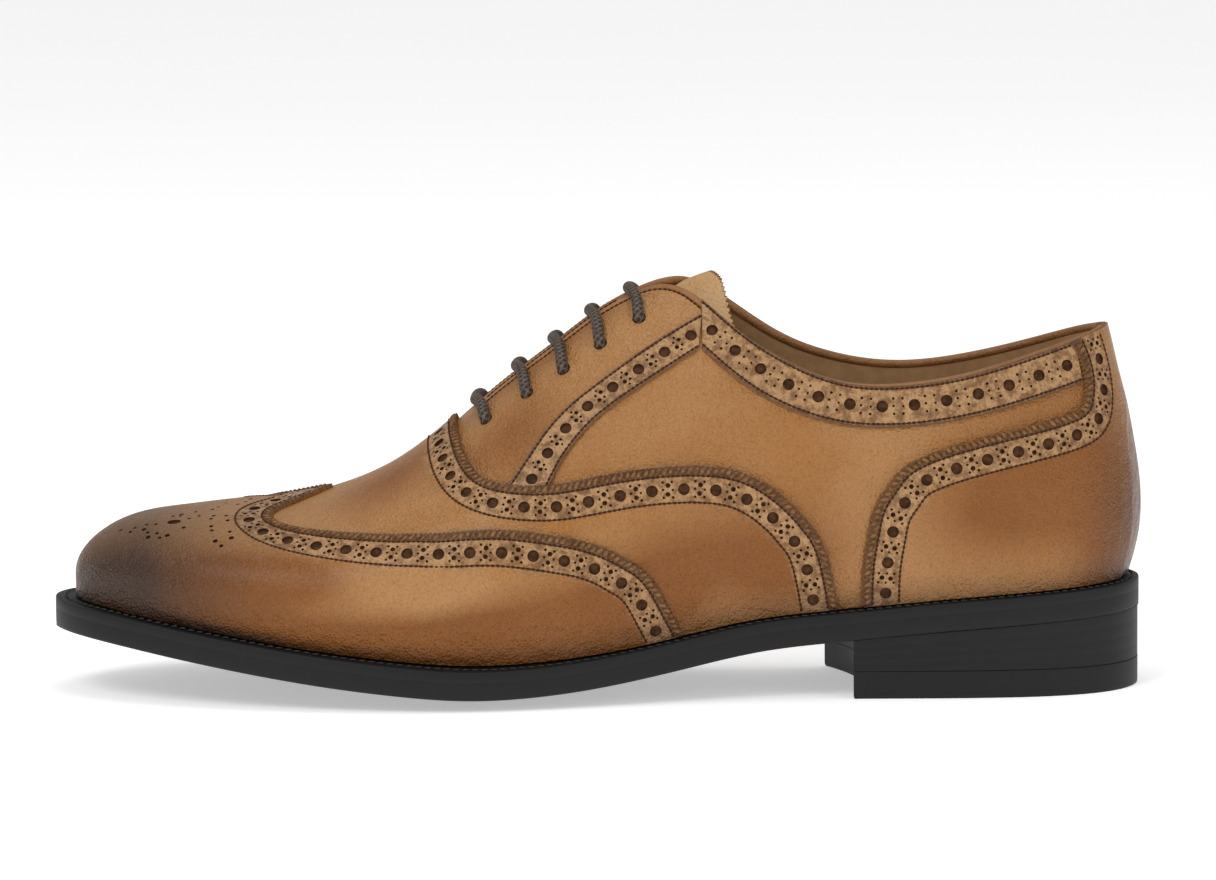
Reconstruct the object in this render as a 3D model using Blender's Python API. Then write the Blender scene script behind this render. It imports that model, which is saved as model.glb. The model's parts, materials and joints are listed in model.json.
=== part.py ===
"""A full-brogue lace-up shoe, left foot: toe toward -X, outer side toward -Y, standing on z = 0. Metres."""
import bmesh
import bpy
import numpy as np

MM = 0.001

# Named sizes
SOLE_LENGTH = 304 * MM
BALL_WIDTH = 105 * MM
HEEL_HEIGHT = 22.2 * MM
TOE_SPRING = 18.2 * MM
INSTEP_HEIGHT = 116 * MM
BACK_HEIGHT = 71 * MM
CAMBER = 4.4 * MM
OUTSOLE = 5.0 * MM
WELT = 3.0 * MM
WELT_RISE = 0.8 * MM
TOP_LIFT = 7.6 * MM
WALL = 2.0 * MM
INSOLE_OVER = 1.5 * MM
OVERLAY = 1.0 * MM
STRAP = 0.6 * MM
LACE = 3.0 * MM
EYELET = 5.0 * MM
APART = 0.3 * MM
LIE = 0.5 * MM


def curve(at, values, where):
    """Natural cubic spline through the rows of a table."""
    at, values = np.asarray(at, float), np.asarray(values, float)
    n = len(at)
    h = np.diff(at)
    A = np.eye(n)
    b = np.zeros(n)
    for i in range(1, n - 1):
        A[i, i - 1:i + 2] = h[i - 1], 2 * (h[i - 1] + h[i]), h[i]
        b[i] = 3 * ((values[i + 1] - values[i]) / h[i] - (values[i] - values[i - 1]) / h[i - 1])
    c = np.linalg.solve(A, b)
    x = np.asarray(where, float)
    k = np.clip(np.searchsorted(at, x) - 1, 0, n - 2)
    d = x - at[k]
    slope = (values[k + 1] - values[k]) / h[k] - h[k] * (2 * c[k] + c[k + 1]) / 3
    return values[k] + slope * d + c[k] * d ** 2 + (c[k + 1] - c[k]) / (3 * h[k]) * d ** 3


class Table:
    """Named columns over the first one."""

    def __init__(self, names, rows):
        self.names = names.split()
        self.rows = np.array(rows)

    def __call__(self, name, where):
        return curve(self.rows[:, 0], self.rows[:, self.names.index(name)], where)


# Underside of the sole's rim, from the back of the heel to the toe tip.
# heel: share of HEEL_HEIGHT; toe: share of TOE_SPRING; camber: share of CAMBER
EDGE = Table("at heel toe camber", [
    (0.00, 1.000, 0.000, 0.0),
    (0.10, 0.915, 0.000, 0.0),
    (0.20, 0.815, 0.000, 0.0),
    (0.28, 0.715, 0.000, 0.0),
    (0.35, 0.620, 0.000, 0.2),
    (0.42, 0.440, 0.000, 0.6),
    (0.50, 0.240, 0.010, 0.9),
    (0.56, 0.110, 0.070, 1.0),
    (0.62, 0.030, 0.145, 1.0),
    (0.68, 0.000, 0.255, 1.0),
    (0.75, 0.000, 0.390, 0.9),
    (0.82, 0.000, 0.560, 0.7),
    (0.90, 0.000, 0.775, 0.5),
    (0.96, 0.000, 0.925, 0.3),
    (1.00, 0.000, 1.000, 0.2),
])

# Plan of the sole: half widths as shares of BALL_WIDTH, before the ends are rounded off
PLAN = Table("at lateral medial", [
    (0.00, 0.300, 0.300),
    (0.10, 0.302, 0.302),
    (0.20, 0.296, 0.288),
    (0.30, 0.296, 0.255),
    (0.40, 0.338, 0.248),
    (0.50, 0.410, 0.290),
    (0.60, 0.470, 0.385),
    (0.68, 0.475, 0.460),
    (0.76, 0.450, 0.480),
    (0.84, 0.405, 0.450),
    (0.92, 0.350, 0.390),
    (1.00, 0.300, 0.325),
])
HEEL_ROUND, TOE_ROUND = 17.0, 14.0

# Sections of the upper. lateral, medial: half widths and turn: swing of the crest, shares of BALL_WIDTH;
# foot: width at the welt over full width; low: share of height to the widest line;
# crest: share of INSTEP_HEIGHT over the floor; lean: how far the sides draw in toward the crest
FORM = Table("at lateral medial foot low crest lean turn", [
    (0.00, 0.295, 0.295, 0.90, 0.26, 1.070, 0.20, 0.000),
    (0.10, 0.295, 0.295, 0.90, 0.26, 1.070, 0.20, 0.000),
    (0.20, 0.290, 0.286, 0.90, 0.26, 1.060, 0.24, 0.000),
    (0.30, 0.288, 0.274, 0.90, 0.26, 1.045, 0.30, 0.000),
    (0.40, 0.308, 0.274, 0.92, 0.26, 1.010, 0.36, 0.010),
    (0.50, 0.365, 0.305, 0.94, 0.26, 0.920, 0.36, 0.020),
    (0.55, 0.393, 0.334, 0.94, 0.27, 0.826, 0.34, 0.023),
    (0.60, 0.415, 0.365, 0.94, 0.28, 0.730, 0.30, 0.025),
    (0.65, 0.424, 0.395, 0.94, 0.28, 0.620, 0.24, 0.025),
    (0.70, 0.422, 0.410, 0.94, 0.30, 0.529, 0.15, 0.022),
    (0.75, 0.410, 0.415, 0.94, 0.31, 0.475, 0.06, 0.020),
    (0.80, 0.392, 0.405, 0.94, 0.33, 0.445, -0.02, 0.016),
    (0.85, 0.365, 0.385, 0.94, 0.34, 0.436, -0.06, 0.013),
    (0.90, 0.335, 0.355, 0.94, 0.36, 0.433, -0.08, 0.010),
    (0.95, 0.305, 0.320, 0.94, 0.38, 0.437, -0.09, 0.005),
    (1.00, 0.275, 0.285, 0.94, 0.40, 0.422, -0.09, 0.000),
])
UPPER_BACK, UPPER_TOE = 0.0120, 0.9735
TOE_WALL = 6 * MM
CREST_ROUND = 17.5
LOW_SHARE = 0.22

# Back curve: height over the welt as a share of BACK_HEIGHT, and millimetres out
BACK = Table("at out", [
    (0.00, -0.6),
    (0.10, 1.4),
    (0.20, 2.6),
    (0.30, 2.8),
    (0.42, 2.1),
    (0.55, 0.6),
    (0.68, -1.2),
    (0.80, -3.4),
    (0.93, -5.6),
    (1.20, -11.0),
    (1.50, -18.0),
])

# Topline as a share of the girth from welt to crest, and the depth of the collar strap below it
TOP = Table("at lateral medial band", [
    (0.00, 0.575, 0.575, 0.095),
    (0.07, 0.532, 0.524, 0.091),
    (0.15, 0.489, 0.488, 0.085),
    (0.22, 0.476, 0.486, 0.083),
    (0.28, 0.495, 0.520, 0.086),
    (0.33, 0.554, 0.583, 0.101),
    (0.37, 0.637, 0.680, 0.118),
    (0.40, 0.735, 0.788, 0.140),
    (0.43, 0.858, 0.915, 0.180),
    (0.45, 0.912, 0.948, 0.200),
    (0.47, 0.930, 0.952, 0.200),
    (0.50, 0.944, 0.957, 0.200),
    (0.55, 0.962, 0.966, 0.200),
    (0.60, 0.978, 0.979, 0.200),
    (0.66, 0.988, 0.988, 0.200),
])
THROAT_END = 0.64

# Edges of the overlays: girth share, and station of the edge
WING_EDGE = Table("at s", [
    (0.00, 0.427), (0.10, 0.445), (0.20, 0.471), (0.27, 0.513), (0.32, 0.556), (0.396, 0.622), (0.485, 0.688),
    (0.56, 0.736), (0.64, 0.780), (0.70, 0.802), (0.77, 0.812), (0.83, 0.807), (0.89, 0.787), (0.94, 0.763),
    (1.00, 0.735),
])
VAMP_EDGE = Table("at s", [
    (0.00, 0.282), (0.11, 0.290), (0.20, 0.304), (0.27, 0.331), (0.32, 0.362), (0.355, 0.402), (0.378, 0.450),
    (0.40, 0.505), (0.44, 0.562), (0.50, 0.600), (0.59, 0.623), (0.72, 0.635), (0.86, 0.640), (1.00, 0.641),
])
COUNTER_EDGE = Table("at s", [
    (0.00, 0.258), (0.11, 0.257), (0.19, 0.252), (0.24, 0.246), (0.285, 0.231), (0.32, 0.210),
    (0.342, 0.176), (0.363, 0.125), (0.379, 0.083), (0.393, 0.056), (0.415, 0.043), (0.45, 0.038),
    (0.50, 0.038), (0.58, 0.048),
])
# Facing strap, from the vamp up to the collar: station and girth share of its front and rear edges
FACING = Table("at front_s front_t rear_s rear_t", [
    (0.00, 0.584, 0.496, 0.549, 0.443),
    (0.17, 0.567, 0.543, 0.535, 0.489),
    (0.33, 0.552, 0.579, 0.516, 0.522),
    (0.50, 0.529, 0.606, 0.495, 0.541),
    (0.67, 0.496, 0.624, 0.463, 0.564),
    (0.83, 0.449, 0.664, 0.435, 0.588),
    (1.00, 0.407, 0.709, 0.411, 0.613),
])
EYELETS = [(0.612, 0.770), (0.573, 0.750), (0.538, 0.742), (0.503, 0.744), (0.466, 0.768)]
BAR_SKEW = 0.010

# Tongue: how far its outer face lies under the upper's outer face, millimetres
TONGUE = Table("at under", [
    (0.37, 0.6), (0.395, 1.0), (0.41, 1.6), (0.43, 3.1), (0.445, 5.1), (0.46, 6.5), (0.48, 7.0), (0.60, 6.9),
    (0.72, 6.0),
])
TONGUE_FRONT, TONGUE_SIDE = 0.70, 0.68
TONGUE_THICK = 1.8 * MM


def edge(a):
    """Height of the underside of the sole's rim at share a of its length from the heel."""
    return HEEL_HEIGHT * EDGE("heel", a) + TOE_SPRING * EDGE("toe", a)


def camber(a):
    return CAMBER * EDGE("camber", a)


def rounded(a):
    return np.sqrt(np.clip(1 - (1 - a) ** HEEL_ROUND, 0, 1)) * np.sqrt(np.clip(1 - a ** TOE_ROUND, 0, 1))


def half(a, side):
    return BALL_WIDTH * PLAN("lateral" if side < 0 else "medial", a) * rounded(a)


def feather(a):
    """Height of the line where the upper meets the welt."""
    return edge(a) + OUTSOLE + WELT + WELT_RISE


def station(s, off=0.0):
    back, toe = UPPER_BACK - off / SOLE_LENGTH, UPPER_TOE + off / SOLE_LENGTH
    return back + s * (toe - back)


def skin(s, t, side, off=0.0):
    """Points of the upper: s from heel 0 to toe 1, t from welt 0 to crest 1, side -1 lateral or 1 medial."""
    s, t, off = np.broadcast_arrays(*(np.asarray(v, float) for v in (s, t, off)))
    a = station(s, off)
    zf = feather(np.clip(a, 0, 1))
    step = 0.004
    slope = (FORM("crest", s + step) - FORM("crest", s - step)) * INSTEP_HEIGHT / (2 * step * SOLE_LENGTH)
    crest = INSTEP_HEIGHT * FORM("crest", s) + off * np.sqrt(1 + slope ** 2)
    tall = TOE_WALL + (crest - zf - TOE_WALL) * np.sqrt(np.clip(1 - s ** CREST_ROUND, 0, 1))
    cap = rounded(s)
    wide = (BALL_WIDTH * FORM("lateral" if side < 0 else "medial", s) + off) * cap
    turn = BALL_WIDTH * FORM("turn", s) * cap
    low, lean, foot = FORM("low", s), FORM("lean", s), FORM("foot", s)
    tau = np.clip(t / LOW_SHARE, 0, 1)
    angle = np.clip((t - LOW_SHARE) / (1 - LOW_SHARE), 0, 1) * np.pi / 2
    under = t < LOW_SHARE
    v = np.where(under, low * tau, low + (1 - low) * np.sin(angle))
    out = np.where(under, 1 - (1 - foot) * (1 - tau) ** 2, np.cos(angle) * (1 - lean * np.sin(angle) ** 2))
    y = side * wide * out + turn * np.clip(v, 0, 1) ** 2
    z = zf + tall * v
    back = MM * BACK("out", np.clip((z - zf) / BACK_HEIGHT, 0, 1.5)) * np.clip(1 - s / 0.33, 0, 1) ** 2
    return np.stack([SOLE_LENGTH * (0.5 - a) + back, y, z], -1)


def topline(s, side):
    """Girth share where the upper ends: the collar, then the throat, then the closed crest."""
    s = np.asarray(s, float)
    ends = TOP("lateral" if side < 0 else "medial", np.minimum(s, 0.66))
    return np.where(s >= THROAT_END - 1e-6, 1.0, ends)


def spaced(n, low=0.0, high=1.0):
    """n steps that close up toward both ends."""
    return low + (high - low) * (1 - np.cos(np.pi * np.arange(n + 1) / n)) / 2


# Mesh helpers
def solid(name, points, faces):
    """One closed object from points and faces, with coincident points joined."""
    mesh = bpy.data.meshes.new(name)
    mesh.from_pydata([tuple(p) for p in points], [], faces)
    bm = bmesh.new()
    bm.from_mesh(mesh)
    bmesh.ops.remove_doubles(bm, verts=bm.verts, dist=2e-6)
    bmesh.ops.dissolve_degenerate(bm, edges=bm.edges, dist=1e-6)
    bmesh.ops.triangulate(bm, faces=bm.faces)
    bmesh.ops.recalc_face_normals(bm, faces=bm.faces)
    bm.to_mesh(mesh)
    bm.free()
    mesh.shade_smooth()
    mesh.set_sharp_from_angle(angle=np.radians(35))
    obj = bpy.data.objects.new(name, mesh)
    shoe.objects.link(obj)
    return obj


ALL_ROUND = ("first_row", "last_row", "first_column", "last_column")


def sheet(low, high, base=0, walls=ALL_ROUND, top_walls=None):
    """Faces of a solid between two grids of points, the low grid stored first."""
    rows, columns = low.shape[:2]
    n = rows * columns
    faces = []
    for i in range(rows - 1):
        for j in range(columns - 1):
            a, d = i * columns + j, (i + 1) * columns + j
            b, c = a + 1, d + 1
            faces.append((base + n + a, base + n + b, base + n + c, base + n + d))
            faces.append((base + d, base + c, base + b, base + a))
    last = (rows - 1) * columns
    end = columns - 1
    ends = {
        "first_row": [(j, j + 1) for j in range(end)],
        "last_row": [(last + j + 1, last + j) for j in range(end)],
        "first_column": [((i + 1) * columns, i * columns) for i in range(rows - 1)],
        "last_column": [(i * columns + end, (i + 1) * columns + end) for i in range(rows - 1)],
    }
    for wall in walls:
        pairs = ends[wall]
        if wall == "last_row" and top_walls is not None:
            pairs = [pair for pair, wanted in zip(pairs, top_walls) if wanted]
        faces += [(base + a, base + b, base + n + b, base + n + a) for a, b in pairs]
    return faces


def both(low, high):
    return np.concatenate([low.reshape(-1, 3), high.reshape(-1, 3)])


def patch(name, s, t, side, inner, outer):
    """A thin solid over a grid of stations and girth shares on one side."""
    low, high = skin(s, t, side, inner), skin(s, t, side, outer)
    return solid(name, both(low, high), sheet(low, high))


def crosswise(s, t, inner, outer):
    """Two grids that run from the lateral foot over the crest to the medial foot. Rows are girth shares."""
    inner, outer = inner + 0 * s, outer + 0 * s
    back = slice(-2, None, -1)
    low = np.concatenate([skin(s, t, -1, inner), skin(s[back], t[back], 1, inner[back])])
    high = np.concatenate([skin(s, t, -1, outer), skin(s[back], t[back], 1, outer[back])])
    return low, high


for obj in list(bpy.data.objects):
    bpy.data.objects.remove(obj)
shoe = bpy.data.collections.new("brogue_shoe")
bpy.context.scene.collection.children.link(shoe)


# Sole
def plate(name, columns, outline, low, high, rows=(0.0, 0.5, 0.8, 1.0)):
    """A plate in an outline of (x, half width); low and high take a column and a share of its half width."""
    shares = [-r for r in reversed(rows)] + list(rows[1:])
    grid_low = np.zeros((len(shares), len(columns), 3))
    grid_high = grid_low.copy()
    for i, r in enumerate(shares):
        x, wide = outline(columns, -1 if r < 0 else 1)
        for grid, height in ((grid_low, low), (grid_high, high)):
            share = np.where(wide < 0.1 * MM, 1.0, r)
            grid[i, :, 0], grid[i, :, 1], grid[i, :, 2] = x, wide * r, height(columns, share)
    walls = ("first_row", "last_row")
    return solid(name, both(grid_low, grid_high), sheet(grid_low, grid_high, walls=walls))


def sole_outline(a, side):
    return SOLE_LENGTH * (0.5 - a), half(a, side)


def foot_outline(off):
    def outline(s, side):
        line = skin(s, 0.0, side, off)
        return line[..., 0], np.abs(line[..., 1])
    return outline


def sole_top(a, r):
    return edge(a) + OUTSOLE - 0.5 * camber(a) * (1 - r ** 2)


def inside(s):
    """Share of the sole's length under station s of the upper's inner face."""
    return np.clip(station(s, -WALL), 0, 1)


plate(
    "outsole", spaced(32), sole_outline,
    lambda a, r: np.maximum(edge(a) - camber(a) * (1 - r ** 2), 0),
    lambda a, r: sole_top(a, r) - APART / 2,
    rows=(0.0, 0.4, 0.75, 1.0),
)

plate(
    "insole", spaced(27), foot_outline(-WALL - 0.35 * MM),
    lambda s, r: sole_top(inside(s), 0.85 * r) + APART / 2 + 0.15 * MM,
    lambda s, r: feather(inside(s)) + INSOLE_OVER - 0.25 * camber(station(s)) * (1 - r ** 2),
)

ring = spaced(35)
loop = []
for side, along in ((-1, ring), (1, ring[-2:0:-1])):
    x, wide = sole_outline(along, side)
    inner = skin(along, 0.0, side, -WALL + 0.02 * MM)
    share = np.clip(np.abs(inner[:, 1]) / np.maximum(half(along, side), 1e-4), 0, 1)
    a_in = np.clip(0.5 - inner[:, 0] / SOLE_LENGTH, 0, 1)
    for k in range(len(along)):
        a = along[k]
        loop.append([
            (x[k], side * wide[k], edge(a) + OUTSOLE + APART / 2),
            (x[k], side * wide[k], edge(a) + OUTSOLE + WELT),
            (inner[k, 0], inner[k, 1], feather(a_in[k]) - APART),
            (inner[k, 0], inner[k, 1], sole_top(a_in[k], share[k]) + APART / 2),
        ])
loop = np.array(loop)
count = len(loop)
corners = loop.shape[1]
faces = []
for k in range(count):
    for c in range(corners):
        n, d = (k + 1) % count, (c + 1) % corners
        faces.append(tuple(p * corners + q for p, q in ((k, c), (k, d), (n, d), (n, c))))
solid("welt", loop.reshape(-1, 3), faces)

# Heel: a block under the sole and a top lift under it, with a hollow breast
BREAST = Table("at a", [(-1.0, 0.267), (-0.5, 0.259), (0.0, 0.258), (0.5, 0.268), (1.0, 0.287)])


def heel(name, low, high, inset):
    shares = np.array([-1.0, -0.85, -0.6, -0.3, 0.0, 0.3, 0.6, 0.85, 1.0])
    steps = np.sin(np.linspace(0, np.pi / 2, 13)) ** 2 * 0.5 + np.linspace(0, 1, 13) ** 2 * 0.5
    grid_low = np.zeros((len(shares), len(steps), 3))
    for i, r in enumerate(shares):
        a = inset / SOLE_LENGTH + steps * (BREAST("a", r) - inset / SOLE_LENGTH)
        side = -1 if r < 0 else 1
        grid_low[i, :, 0] = SOLE_LENGTH * (0.5 - a)
        grid_low[i, :, 1] = r * (half(a - inset / SOLE_LENGTH, side) - inset)
    grid_low[:, 0, 1] = 0
    grid_high = grid_low.copy()
    a = 0.5 - grid_low[..., 0] / SOLE_LENGTH
    grid_low[..., 2], grid_high[..., 2] = low(a), high(a)
    walls = ("first_row", "last_row", "last_column")
    return solid(name, both(grid_low, grid_high), sheet(grid_low, grid_high, walls=walls))


heel("heel_base", lambda a: TOP_LIFT + APART + 0 * a, lambda a: edge(a) - camber(a) - APART, 0.4 * MM)
heel("top_lift", lambda a: 0 * a, lambda a: TOP_LIFT + 0 * a, 0.2 * MM)

# Upper: both halves, joined at the back seam, the toe and the closed crest
wanted = np.array([0.425, 0.441, 0.457, 0.475, THROAT_END])
columns = spaced(36)
columns = columns[np.abs(columns[:, None] - wanted).min(1) > 0.008]
columns = np.sort(np.concatenate([columns, wanted]))
rows = 9
points, faces = [], []
for side in (-1, 1):
    top = topline(columns, side)
    s, t = np.meshgrid(columns, np.linspace(0, 1, rows + 1))
    t = t * top
    low, high = skin(s, t, side, -WALL), skin(s, t, side, 0.0)
    open_top = [columns[j] < THROAT_END - 1e-6 for j in range(len(columns) - 1)]
    found = sheet(low, high, base=sum(map(len, points)), walls=("first_row", "last_row"), top_walls=open_top)
    faces += found if side < 0 else [face[::-1] for face in found]
    points.append(both(low, high))
upper = solid("upper", np.concatenate(points), faces)

# Overlays
girth = np.array([0, .1, .18, .24, .28, .32, .345, .365, .385, .41, .45, .5, .57, .66, .76, .88, 1.0])
across = np.linspace(0, 1, 7)
t = np.repeat(girth[:, None], len(across), 1)
back, front = VAMP_EDGE("s", girth), WING_EDGE("s", girth) - APART / SOLE_LENGTH
s = back[:, None] + (front - back)[:, None] * across
low, high = crosswise(s, t, LIE, LIE + OVERLAY)
solid("vamp", both(low, high), sheet(low, high))

girth = np.array([0, .07, .13, .19, .25, .31, .37, .44, .51, .58, .65, .72, .79, .86, .93, 1.0])
across = np.sin(np.linspace(0, np.pi / 2, 14))
t = np.repeat(girth[:, None], len(across), 1)
back = WING_EDGE("s", girth) + APART / SOLE_LENGTH
s = back[:, None] + (1 - back)[:, None] * across
low, high = crosswise(s, t, LIE, LIE + 2 * OVERLAY)
solid("wing_cap", both(low, high), sheet(low, high, walls=("first_row", "last_row", "first_column")))

girth = np.array([0, .13, .25, .36, .46, .54, .60, .65, .70, .78, .86, .93, 1.0])
spread = np.linspace(0, 1, 9) ** 2
low, high = [], []
for side in (-1, 1):
    level = girth * TOP.rows[0, 1]
    s = COUNTER_EDGE("s", level)[:, None] * spread
    t = level[:, None] + (topline(s, side) - TOP.rows[0, 1] - 0.003) * girth[:, None] ** 6
    low.append(skin(s, t, side, LIE))
    high.append(skin(s, t, side, LIE + OVERLAY))
low = np.concatenate([low[0][:, ::-1], low[1][:, 1:]], 1)
high = np.concatenate([high[0][:, ::-1], high[1][:, 1:]], 1)
solid("heel_counter", both(low, high), sheet(low, high))

for side, name in ((-1, "lateral"), (1, "medial")):
    along = np.linspace(0, 1, 11)
    across = np.linspace(0, 1, 3)
    s = FACING("rear_s", along) + across[:, None] * (FACING("front_s", along) - FACING("rear_s", along))
    t = FACING("rear_t", along) + across[:, None] * (FACING("front_t", along) - FACING("rear_t", along))
    patch("facing_strap_" + name, s, t, side, LIE, LIE + STRAP)
    along = np.linspace(0, 1, 18)
    s = 0.048 + np.outer([0.357, 0.357, 0.359], along)
    t = topline(s, side) - 0.004 - TOP("band", s) * np.array([[1.0], [0.5], [0.0]])
    patch("collar_strap_" + name, s, t, side, LIE, LIE + STRAP)

# Tongue
along = np.linspace(0, 1, 13)
share = np.linspace(TONGUE_SIDE, 1, 6)
end = 0.397 - 0.085 * (1 - share)
s = end[:, None] + (TONGUE_FRONT - end)[:, None] * along
t = np.repeat(share[:, None], len(along), 1)
under = TONGUE("under", s)
tucked = np.clip((np.minimum(topline(s, 1), 0.93) + 0.11 - t) / 0.08, 0, 1)
under = MM * (under + tucked * np.maximum(3.3 - under, 0))
low, high = crosswise(s, t, -under - TONGUE_THICK, -under)
solid("tongue", both(low, high), sheet(low, high))

# Lace: one cord, over each bar and under the facings between eyelets
def eyelet_axes(s0, t0, side):
    """Centre of an eyelet, its outward normal, and unit steps toward the crest and toward the heel."""
    up = skin(s0, t0 + 0.01, side) - skin(s0, t0 - 0.01, side)
    rear = skin(s0 - 0.01, t0, side) - skin(s0 + 0.01, t0, side)
    normal = np.cross(up, rear) * side
    up, rear, normal = (v / np.linalg.norm(v) for v in (up, rear, normal))
    return skin(s0, t0, side), normal if normal[2] > 0 else -normal, up, rear


turns = [-1, 1, 1, -1, -1, 1, 1, -1, -1, 1]
over = LIE + LACE / 2 + 0.2 * MM
below = -WALL - APART - LACE / 2 - 0.35 * MM
route = []
for k, (s0, t0) in enumerate(EYELETS):
    first, last = turns[2 * k], turns[2 * k + 1]
    centre, normal, up, rear = eyelet_axes(s0, t0, first)
    route += [centre - 0.6 * WALL * normal, centre + 0.3 * MM * normal]
    route.append(centre + 0.9 * over * normal + 2.3 * MM * up)
    for t, side in ((0.88, first), (1.0, first), (0.88, last)):
        route.append(skin(s0 + BAR_SKEW * (1.0 if t == 1 else 0.6), t, side, over))
    centre, normal, up, rear = eyelet_axes(s0, t0, last)
    route.append(centre + 0.9 * over * normal + 2.3 * MM * up)
    route += [centre + 0.3 * MM * normal, centre - 0.6 * WALL * normal]
    if k + 1 < len(EYELETS):
        after, normal_after, up, rear_after = eyelet_axes(*EYELETS[k + 1], last)
        route.append(centre + below * normal + 2.4 * MM * rear)
        route.append((centre + below * normal + after + below * normal_after) / 2 - 0.1 * MM * normal)
        route.append(after + below * normal_after - 2.4 * MM * rear_after)
nodes = np.array(route)
length = np.concatenate([[0], np.cumsum(np.linalg.norm(np.diff(nodes, axis=0), axis=1))])
fine = np.linspace(0, length[-1], 100)
path = np.stack([curve(length, nodes[:, c], fine) for c in range(3)], -1)
cord = bpy.data.curves.new("lace", "CURVE")
cord.dimensions = "3D"
cord.bevel_depth = LACE / 2
cord.bevel_resolution = 1
cord.use_fill_caps = True
line = cord.splines.new("POLY")
line.points.add(len(path) - 1)
for point, co in zip(line.points, path):
    point.co = (*co, 1)
lace = bpy.data.objects.new("lace", cord)
shoe.objects.link(lace)

# Eyelet holes through the facings
helpers = bpy.data.collections.new("helpers")
bpy.context.scene.collection.children.link(helpers)
pins = bmesh.new()
for side in (-1, 1):
    for s0, t0 in EYELETS:
        centre, normal, u, rear = eyelet_axes(s0, t0, side)
        centre = centre - WALL / 2 * normal
        v = np.cross(normal, u)
        rim = []
        for up in (-3 * MM, 3 * MM):
            for turn in np.arange(10) * 2 * np.pi / 10:
                round_it = np.cos(turn) * u + np.sin(turn) * v
                rim.append(pins.verts.new(centre + up * normal + EYELET / 2 * round_it))
        pins.faces.new(rim[9::-1])
        pins.faces.new(rim[10:])
        for k in range(10):
            n = (k + 1) % 10
            pins.faces.new((rim[k], rim[n], rim[10 + n], rim[10 + k]))
bmesh.ops.recalc_face_normals(pins, faces=pins.faces)
cutter_mesh = bpy.data.meshes.new("eyelet_pins")
pins.to_mesh(cutter_mesh)
pins.free()
cutter = bpy.data.objects.new("eyelet_pins", cutter_mesh)
helpers.objects.link(cutter)
cutter.hide_render = True
cutter.display_type = "WIRE"
cut = upper.modifiers.new("eyelets", "BOOLEAN")
cut.operation = "DIFFERENCE"
cut.solver = "EXACT"
cut.object = cutter

# Materials: colour, roughness and the pieces they cover
LOOKS = {
    "tan_leather": ((0.45, 0.25, 0.10), 0.42, "upper vamp"),
    "brogued_leather": ((0.50, 0.30, 0.16), 0.45, "facing_strap collar_strap tongue"),
    "burnished_leather": ((0.20, 0.09, 0.03), 0.36, "wing_cap heel_counter"),
    "lining_leather": ((0.48, 0.30, 0.15), 0.60, "insole"),
    "black_sole_leather": ((0.025, 0.026, 0.030), 0.55, "outsole welt heel_base"),
    "black_rubber": ((0.020, 0.020, 0.022), 0.65, "top_lift"),
    "brown_cord": ((0.07, 0.045, 0.032), 0.75, "lace"),
}
for name, (colour, roughness, pieces) in LOOKS.items():
    material = bpy.data.materials.new(name)
    material.use_nodes = True
    shader = material.node_tree.nodes["Principled BSDF"]
    shader.inputs["Base Color"].default_value = (*colour, 1)
    shader.inputs["Roughness"].default_value = roughness
    shader.inputs["Metallic"].default_value = 0.0
    for obj in shoe.objects:
        if obj.name.startswith(tuple(pieces.split())):
            obj.data.materials.append(material)
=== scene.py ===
# %% [markdown]
# # A tan full-brogue shoe
#
# The real thing is a welted leather lace-up: punched and pinked panels are sewn over a soft upper, which
# is drawn over a last and stitched to a welt and a leather sole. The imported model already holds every
# piece at its true size, so this lesson loads it, and then makes each skin again from the same functions,
# fine enough to carry teeth, holes, stitches and a grain.

# %% Load the frame
import json

import bmesh
import bpy
import numpy as np
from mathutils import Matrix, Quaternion, Vector
from mathutils.kdtree import KDTree

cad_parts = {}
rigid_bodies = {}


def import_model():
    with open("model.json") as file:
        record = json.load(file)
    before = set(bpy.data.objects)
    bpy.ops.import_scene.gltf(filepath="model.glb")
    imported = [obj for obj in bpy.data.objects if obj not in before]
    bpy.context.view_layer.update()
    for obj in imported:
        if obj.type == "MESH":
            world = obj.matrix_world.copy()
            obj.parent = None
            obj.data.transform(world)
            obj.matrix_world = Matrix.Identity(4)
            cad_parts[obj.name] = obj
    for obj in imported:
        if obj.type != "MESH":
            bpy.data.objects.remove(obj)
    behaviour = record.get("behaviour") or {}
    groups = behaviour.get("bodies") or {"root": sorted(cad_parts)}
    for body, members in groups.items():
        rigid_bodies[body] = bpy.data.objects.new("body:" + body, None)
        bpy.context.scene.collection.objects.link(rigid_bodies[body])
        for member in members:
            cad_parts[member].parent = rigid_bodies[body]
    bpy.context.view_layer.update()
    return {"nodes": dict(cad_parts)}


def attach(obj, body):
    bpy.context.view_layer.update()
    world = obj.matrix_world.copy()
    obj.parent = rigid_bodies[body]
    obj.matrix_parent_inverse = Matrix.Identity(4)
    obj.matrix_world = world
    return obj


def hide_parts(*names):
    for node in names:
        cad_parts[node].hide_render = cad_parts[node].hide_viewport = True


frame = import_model()
print("frame:", len(frame["nodes"]), "nodes")

# %% [markdown]
# ## Camera, floor and light
#
# A shoe is photographed from its side through a long lens, a little from above. The camera stands 1.8 m
# away and 7.3 degrees up, with the slight roll of the photograph. Large soft lights keep polished calf
# readable: small ones would leave hard spots on it.

# %% Camera
def placed(name, data):
    """A new object in the scene."""
    obj = bpy.data.objects.new(name, data)
    bpy.context.scene.collection.objects.link(obj)
    return obj


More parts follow.
